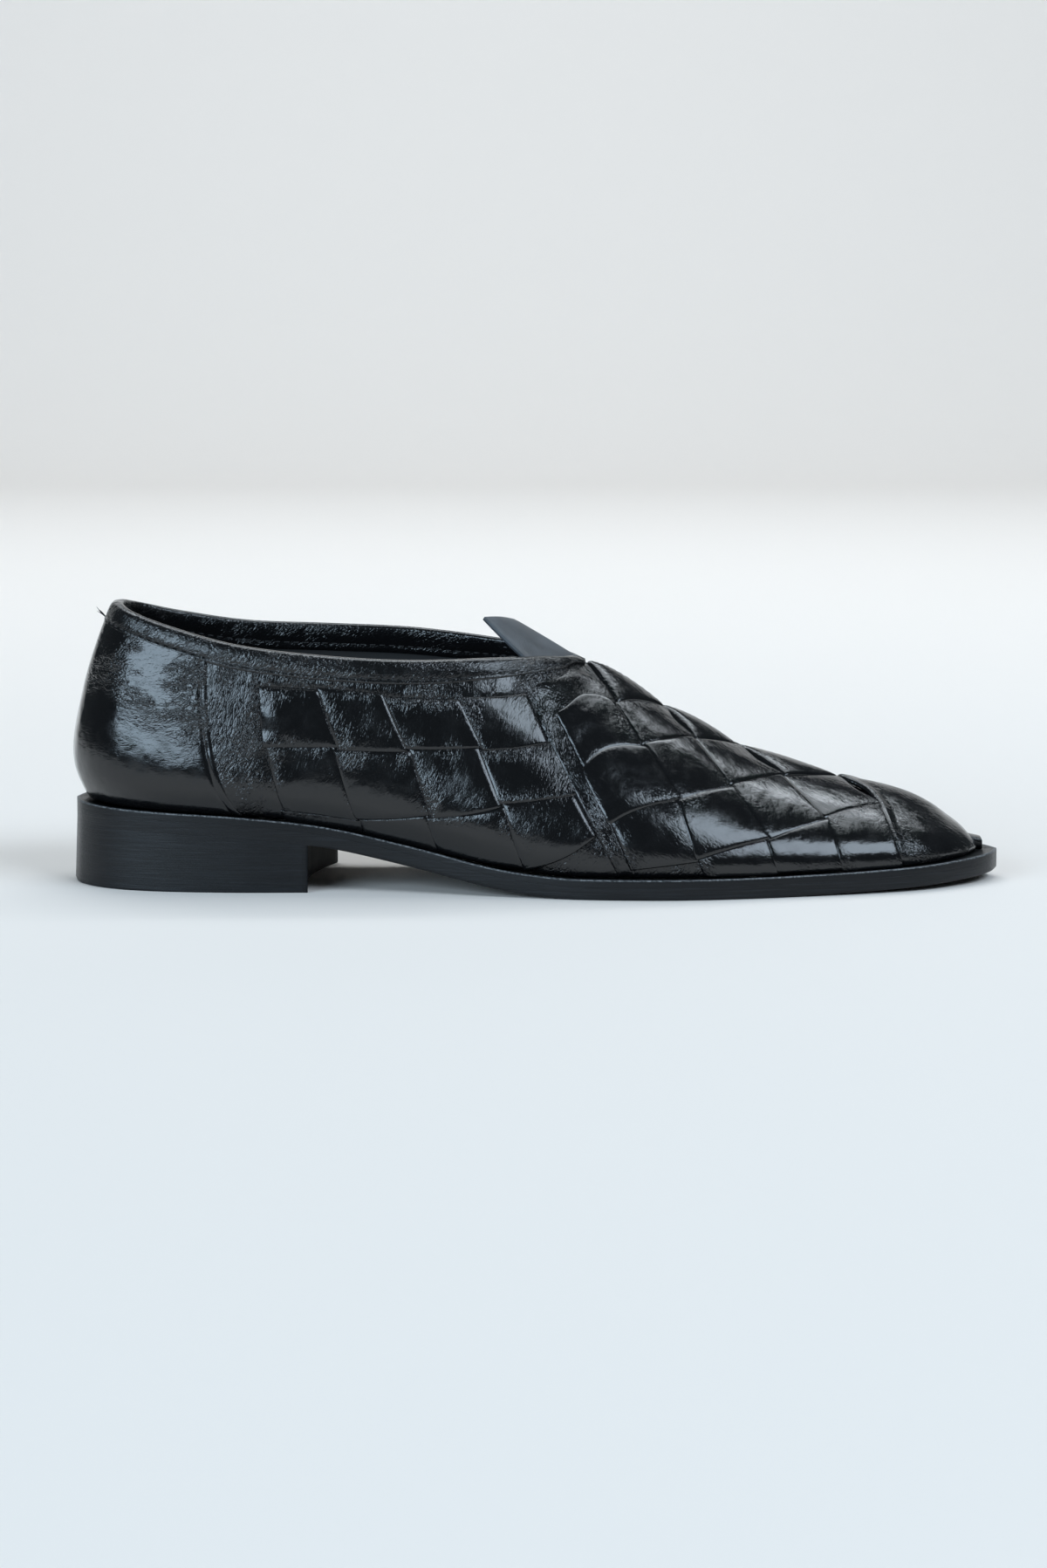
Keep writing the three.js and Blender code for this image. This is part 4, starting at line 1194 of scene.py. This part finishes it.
# Collar band, section as (place, distance down in mm, height in mm, lift in mm): outside up, over
# the edge, and down inside
BAND_SECTION = (
    ("out", 6.7, 0.25, 0.0), ("out", 6.6, 0.8, 0.0), ("out", 6.3, 1.12, 0.0), ("out", 5.75, 1.2, 0.0),
    ("out", 5.3, 1.0, 0.0), ("out", 4.9, 1.22, 0.0), ("out", 3.0, 1.32, 0.0), ("out", 1.4, 1.28, 0.0),
    ("out", 0.5, 1.05, 0.1), ("out", 0.1, 0.6, 0.42), ("mid", 0.0, 0.0, 0.75), ("in", 0.1, 0.3, 0.42),
    ("in", 0.6, 0.62, 0.0), ("in", 3.0, 0.6, 0.0), ("in", 5.2, 0.55, 0.0), ("in", 5.6, 0.4, 0.0),
    ("in", 6.0, 0.55, 0.0), ("in", 7.6, 0.5, 0.0), ("in", 7.9, 0.0, 0.0), ("in", 7.9, -0.5, 0.0),
    ("out", 6.6, -0.3, 0.0),
)
BAND_END = 8.93
# Share of the band's height that is left at these sections, towards the throat
BAND_NARROWS = ((6.4, 7.6, 8.3, 8.8, 9.0), (1.0, 0.78, 0.68, 0.5, 0.36))
BAND_STATIONS = 301


def band_path():
    """Stations round the topline from the inner throat by the heel to the outer throat"""
    t = np.linspace(-1, 1, BAND_STATIONS)
    side = np.where(t < 0, 1.0, -1.0)
    return side, BAND_END * np.abs(t)


def collar_points(last, side, s, where, down, height, lift):
    """Points along the topline at one place of the band's section, lower towards the throat"""
    narrow = np.interp(s, *BAND_NARROWS)
    v = last.below_topline(side, s, down * MM * narrow)
    if where == "out":
        points = last.raised(side, s, v, np.full(len(s), height * MM))
    elif where == "in":
        points = last.point(side, s, v, last.size.upper_wall + height * MM)
    else:
        points = last.point(side, s, v, last.size.upper_wall / 2)
    points[:, 2] += lift * MM
    return points


def make_collar_band(last):
    """Folded band round the topline, with a groove for its seam"""
    side, s = band_path()
    rows = np.array([collar_points(last, side, s, *place) for place in BAND_SECTION])
    count, around = rows.shape[1], rows.shape[0]
    index = np.arange(around * count).reshape(around, count)
    following = np.roll(index, -1, axis=0)
    faces = np.stack([index[:, :-1], index[:, 1:], following[:, 1:], following[:, :-1]], axis=-1)
    faces = faces.reshape(-1, 4).tolist()
    faces.append(index[:, 0].tolist())
    faces.append(index[:, -1].tolist())
    x = last.column("x", s)
    down = np.array([place[1] for place in BAND_SECTION])
    crease = np.tile(0.3 + 0.4 * (1 - smooth_step(0.2, 0.34, x)), around)
    grain = grain_place(last, x[None, :], 1 - down[:, None] * 0.018, 40, 2).reshape(-1, 3)
    return mesh_object("collar_band_dressed", rows.reshape(-1, 3), faces, [material_named("band_leather")],
                       values={"crease": crease, "grain": grain})


# The tab's free corners as shares of the sole's length, the ball's width and the upper's height over
# the welt, and its roots as (section, v)
TAB_CORNERS = ((0.442, -0.087, 1.247), (0.4735, 0.054, 1.217))
TAB_ROOTS = ((7.5, 0.97), (9.35, 1.0))


def make_throat_tab(last):
    """Cut end of a strip that stands up from the throat"""
    size = last.size
    scale = np.array([size.sole_length, size.ball_width, size.upper_height])
    free = [np.array(corner) * scale + np.array([last.shift, 0.0, last.depth]) for corner in TAB_CORNERS]
    roots = [last.point(-1.0, s, v, size.upper_wall * 0.5) for s, v in TAB_ROOTS]
    normal = np.cross(free[1] - free[0], roots[0] - free[0])
    normal /= np.linalg.norm(normal)
    normal *= math.copysign(1, normal[2])
    steps = np.array([0.0, 0.02, 0.06, 0.12])
    p = np.concatenate([steps, np.linspace(0.2, 0.8, 9), 1 - steps[::-1]])
    q = np.concatenate([np.linspace(0, 0.85, 14), [0.92, 0.96, 0.985, 1.0]])
    pp, qq = np.meshgrid(p, q, indexing="ij")
    low = roots[0] + (roots[1] - roots[0]) * pp[..., None]
    high = free[0] + (free[1] - free[0]) * pp[..., None]
    middle = low + (high - low) * qq[..., None]
    sag = MM * np.sin(math.pi * qq) * (0.6 * pp - 0.2) + 0.5 * MM * np.sin(math.pi * pp)
    soft = 0.25 * MM * (1 - smooth_step(0.0, 0.06, np.minimum(np.minimum(pp, 1 - pp), 1 - qq)))
    half = size.tab_thickness / 2
    grid = np.stack([middle + normal * (sag - half + soft)[..., None],
                     middle + normal * (sag + half - soft)[..., None]], axis=2)
    skin = Skin()
    skin.add_sheet(grid, np.full(pp.shape, 0.15), np.stack([qq * 10, pp * 14, 0 * pp], axis=-1))
    return skin.make("throat_tab_dressed", [material_named("tab_leather")])


# Stitches


# Along one stitch: place as a share, radius and depth as shares of the thread's radius
STITCH = np.array([
    (0.0, 0.35, -0.9), (0.1, 0.85, -0.1), (0.5, 1.0, 0.25), (0.9, 0.85, -0.1), (1.0, 0.35, -0.9)])
STITCH_LENGTH = 0.68
# Rows of sewing as place in the band's section, distance down and height in millimetres
STITCH_ROWS = (("out", 5.3, 1.08), ("in", 5.6, 0.45))


def stitch_row(skin, points, normals, size):
    """Short sunk stitches along a line of points"""
    run = run_along(points)
    for start in np.arange(size.stitch_pitch, run[-1] - size.stitch_pitch, size.stitch_pitch):
        ends = start + STITCH[:, 0] * size.stitch_pitch * STITCH_LENGTH
        line = np.stack([np.interp(ends, run, points[:, k]) for k in range(3)], axis=-1)
        out = np.array([np.interp(start, run, normals[:, k]) for k in range(3)])
        out /= np.linalg.norm(out)
        along = line[-1] - line[0]
        along /= np.linalg.norm(along)
        radius, sunk = size.stitch_radius * STITCH[:, 1], size.stitch_radius * STITCH[:, 2]
        skin.add_tube(line + out * sunk[:, None], radius, np.cross(along, out), out)


def make_stitching(last):
    """Sewn lines of the collar band, outside in its groove and inside on the lining"""
    skin = Skin()
    side, s = band_path()
    for place, down, height in STITCH_ROWS:
        points = collar_points(last, side, s, place, down, height, 0.0)
        deeper = collar_points(last, side, s, place, down, height - 0.3, 0.0)
        stitch_row(skin, points, points - deeper, last.size)
    return skin.make("collar_stitching", [material_named("black_thread")])


# Loose thread ends at the back of the band: (dx, dy, dz) of each end in millimetres
THREAD_ENDS = ((-2.2, -0.3, 2.6), (-2.6, -0.1, 2.2), (-1.7, -0.3, 2.0), (-2.8, 0.1, 3.0))
FRAYED_RADIUS = 0.22 * MM


def make_thread_tuft(last):
    """Frayed end of the band's thread at the back seam"""
    skin = Skin()
    root = collar_points(last, np.array([-1.0]), np.array([0.02]), "out", 5.2, 0.9, 0.0)[0]
    t = np.linspace(0, 1, 7)
    for number, end in enumerate(THREAD_ENDS):
        reach = np.array(end) * MM
        sideways, upwards = np.sin(t * 3 + number) * 0.3 * MM * t, np.sin(t * 4 + number) * 0.25 * MM * t
        line = root + reach * t[:, None] + np.stack([0 * t, sideways, upwards], axis=-1)
        along = reach / np.linalg.norm(reach)
        side = np.cross(along, [0.0, 0.0, 1.0])
        side /= np.linalg.norm(side)
        skin.add_tube(line, FRAYED_RADIUS * (1 - 0.7 * t), side, np.cross(side, along))
    return skin.make("thread_tuft", [material_named("black_thread")])


# Operators


class SLIPON_OT_sole(bpy.types.Operator):
    """Outsole, welt and stacked heel"""

    bl_idname = "slip_on.sole"
    bl_label = "Sole, welt and heel"

    def execute(self, context):
        last = Last(sizes())
        place_piece(make_outsole(last), "sole_leather", "outsole")
        place_piece(make_welt(last), "sole_leather", "welt")
        place_piece(make_heel(last), "sole_leather", "heel")
        return {"FINISHED"}


class SLIPON_OT_insole(bpy.types.Operator):
    """Insole inside the upper"""

    bl_idname = "slip_on.insole"
    bl_label = "Insole"

    def execute(self, context):
        place_piece(make_insole(Last(sizes())), "lining_leather", "insole")
        return {"FINISHED"}


class SLIPON_OT_upper(bpy.types.Operator):
    """Upper's wall with its plain panels and lining"""

    bl_idname = "slip_on.upper"
    bl_label = "Upper wall"

    def execute(self, context):
        place_piece(make_wall(Last(sizes())), "upper_leather", "upper")
        return {"FINISHED"}


class SLIPON_OT_weave(bpy.types.Operator):
    """Woven strips of vamp and quarters"""

    bl_idname = "slip_on.weave"
    bl_label = "Woven strips"

    def execute(self, context):
        last = Last(sizes())
        place_piece(make_strips(last, "vamp"), "upper_leather")
        place_piece(make_strips(last, "quarter"), "upper_leather")
        place_piece(make_vamp_panel(last), "upper_leather")
        place_piece(make_toe_cap(last), "upper_leather")
        place_piece(make_strip_end(last), "upper_leather")
        return {"FINISHED"}


class SLIPON_OT_trim(bpy.types.Operator):
    """Counter, collar band, throat tab and sewing"""

    bl_idname = "slip_on.trim"
    bl_label = "Counter, band and tab"

    def execute(self, context):
        last = Last(sizes())
        place_piece(make_counter(last), "upper_leather", "counter")
        place_piece(make_collar_band(last), "trim_leather", "collar_band")
        place_piece(make_throat_tab(last), "upper_leather")
        place_piece(make_stitching(last), "trim_leather")
        place_piece(make_thread_tuft(last), "trim_leather")
        return {"FINISHED"}


# Soft boxes: name, place and aim in metres, width and height, watts, colour
SHOE_MIDDLE = (0.0, 0.0, 0.03)
LIGHTS = (
    ("left_box", (-1.84, -2.08, 1.04), SHOE_MIDDLE, (2.30, 1.14), 60.0, (0.64, 0.83, 1.0)),
    ("right_box", (1.50, -1.26, 1.74), SHOE_MIDDLE, (1.80, 1.20), 46.0, (0.72, 0.86, 1.0)),
    ("top_box", (0.05, 0.75, 1.9), SHOE_MIDDLE, (1.80, 1.40), 22.0, (0.86, 0.94, 1.0)),
    ("back_box", (0.0, 1.3, 1.9), (0.0, 2.6, 0.4), (2.6, 0.8), 28.0, (0.87, 0.94, 1.0)),
)
AIR_COLOUR = (0.72, 0.88, 0.95, 1)
AIR_STRENGTH = 0.07
# The sweep in metres: from front to back, half its width, height, radius of its bend
SWEEP_FRONT, SWEEP_BACK, SWEEP_HALF, SWEEP_RISE, SWEEP_BEND = -0.8, 3.0, 2.2, 1.7, 0.8


def area_light(name, place, aim, size, power, colour):
    """Soft box at a place in metres, turned to its aim"""
    data = bpy.data.lights.new(name, "AREA")
    data.shape = "RECTANGLE"
    data.size, data.size_y = size
    data.energy = power
    data.color = colour
    light = bpy.data.objects.new(name, data)
    light.location = place
    light.rotation_euler = (Vector(aim) - Vector(place)).to_track_quat("-Z", "Y").to_euler()
    bpy.context.collection.objects.link(light)
    return light


def make_floor():
    """Pale sweep: floor that curves up into the backdrop"""
    flat_end = SWEEP_BACK - SWEEP_BEND
    profile = [(SWEEP_FRONT, 0.0), (flat_end, 0.0)]
    profile += [(flat_end + SWEEP_BEND * math.sin(turn), SWEEP_BEND - SWEEP_BEND * math.cos(turn))
                for turn in np.linspace(0, math.pi / 2, 17)[1:]]
    profile.append((SWEEP_BACK, SWEEP_RISE))
    points, faces = [], []
    for y, z in profile:
        points += [(-SWEEP_HALF, y, z), (SWEEP_HALF, y, z)]
    for k in range(len(profile) - 1):
        faces.append([2 * k, 2 * k + 1, 2 * k + 3, 2 * k + 2])
    mesh = bpy.data.meshes.new("studio_sweep")
    mesh.from_pydata(points, [], faces)
    for polygon in mesh.polygons:
        polygon.use_smooth = True
    sweep = bpy.data.objects.new("studio_sweep", mesh)
    bpy.context.collection.objects.link(sweep)
    material, _, shader = new_material("studio_paper")
    shader.inputs["Base Color"].default_value = (*looks().floor_colour, 1)
    shader.inputs["Roughness"].default_value = 0.9
    shader.inputs["Specular IOR Level"].default_value = 0.1
    mesh.materials.append(material)
    return sweep


def make_camera():
    """Camera that looks down a little on the shoe's outer side"""
    data = bpy.data.cameras.new("camera")
    data.lens = studio().lens
    data.sensor_width = 36.0
    camera = bpy.data.objects.new("camera", data)
    pitch = studio().pitch
    shift = (sizes().heel_flare - sizes().sole_length) / 2
    aim = Vector((studio().aim_x + shift, 0.0, studio().aim_z))
    back = Vector((0.0, -math.cos(pitch), math.sin(pitch))) * studio().distance
    camera.location = aim + back
    camera.rotation_euler = (-back).to_track_quat("-Z", "Y").to_euler()
    bpy.context.collection.objects.link(camera)
    bpy.context.scene.camera = camera


class SLIPON_OT_stage(bpy.types.Operator):
    """Floor, lights and camera"""

    bl_idname = "slip_on.stage"
    bl_label = "Studio"

    def execute(self, context):
        make_floor()
        make_camera()
        for light in LIGHTS:
            area_light(*light)
        world = bpy.data.worlds.new("studio_air")
        world.use_nodes = True
        world.node_tree.nodes["Background"].inputs["Color"].default_value = AIR_COLOUR
        world.node_tree.nodes["Background"].inputs["Strength"].default_value = AIR_STRENGTH
        bpy.context.scene.world = world
        bpy.context.scene.view_settings.view_transform = "Standard"
        return {"FINISHED"}


class SLIPON_PT_panel(bpy.types.Panel):
    """Sizes, looks and the steps that build the shoe"""

    bl_label = "Woven slip-on"
    bl_idname = "SLIPON_PT_panel"
    bl_space_type = "VIEW_3D"
    bl_region_type = "UI"
    bl_category = "Slip-on"

    def draw(self, context):
        layout = self.layout
        scene = context.scene
        for group in (scene.slip_on_sizes, scene.slip_on_looks, scene.slip_on_studio):
            box = layout.box()
            for key in group.__annotations__:
                box.prop(group, key)
        for operator in OPERATORS:
            layout.operator(operator.bl_idname)


GROUPS = (ShoeSizes, LeatherLooks, StudioSet)
OPERATORS = (
    SLIPON_OT_sole, SLIPON_OT_insole, SLIPON_OT_upper, SLIPON_OT_weave, SLIPON_OT_trim, SLIPON_OT_stage,
)
CLASSES = GROUPS + OPERATORS + (SLIPON_PT_panel,)


def register():
    for kind in CLASSES:
        bpy.utils.register_class(kind)
    bpy.types.Scene.slip_on_sizes = bpy.props.PointerProperty(type=ShoeSizes)
    bpy.types.Scene.slip_on_looks = bpy.props.PointerProperty(type=LeatherLooks)
    bpy.types.Scene.slip_on_studio = bpy.props.PointerProperty(type=StudioSet)


def unregister():
    del bpy.types.Scene.slip_on_studio
    del bpy.types.Scene.slip_on_looks
    del bpy.types.Scene.slip_on_sizes
    for kind in reversed(CLASSES):
        bpy.utils.unregister_class(kind)


def main():
    register()
    bpy.ops.slip_on.sole()
    bpy.ops.slip_on.insole()
    bpy.ops.slip_on.upper()
    bpy.ops.slip_on.weave()
    bpy.ops.slip_on.trim()
    bpy.ops.slip_on.stage()


if __name__ == "__main__":
    main()
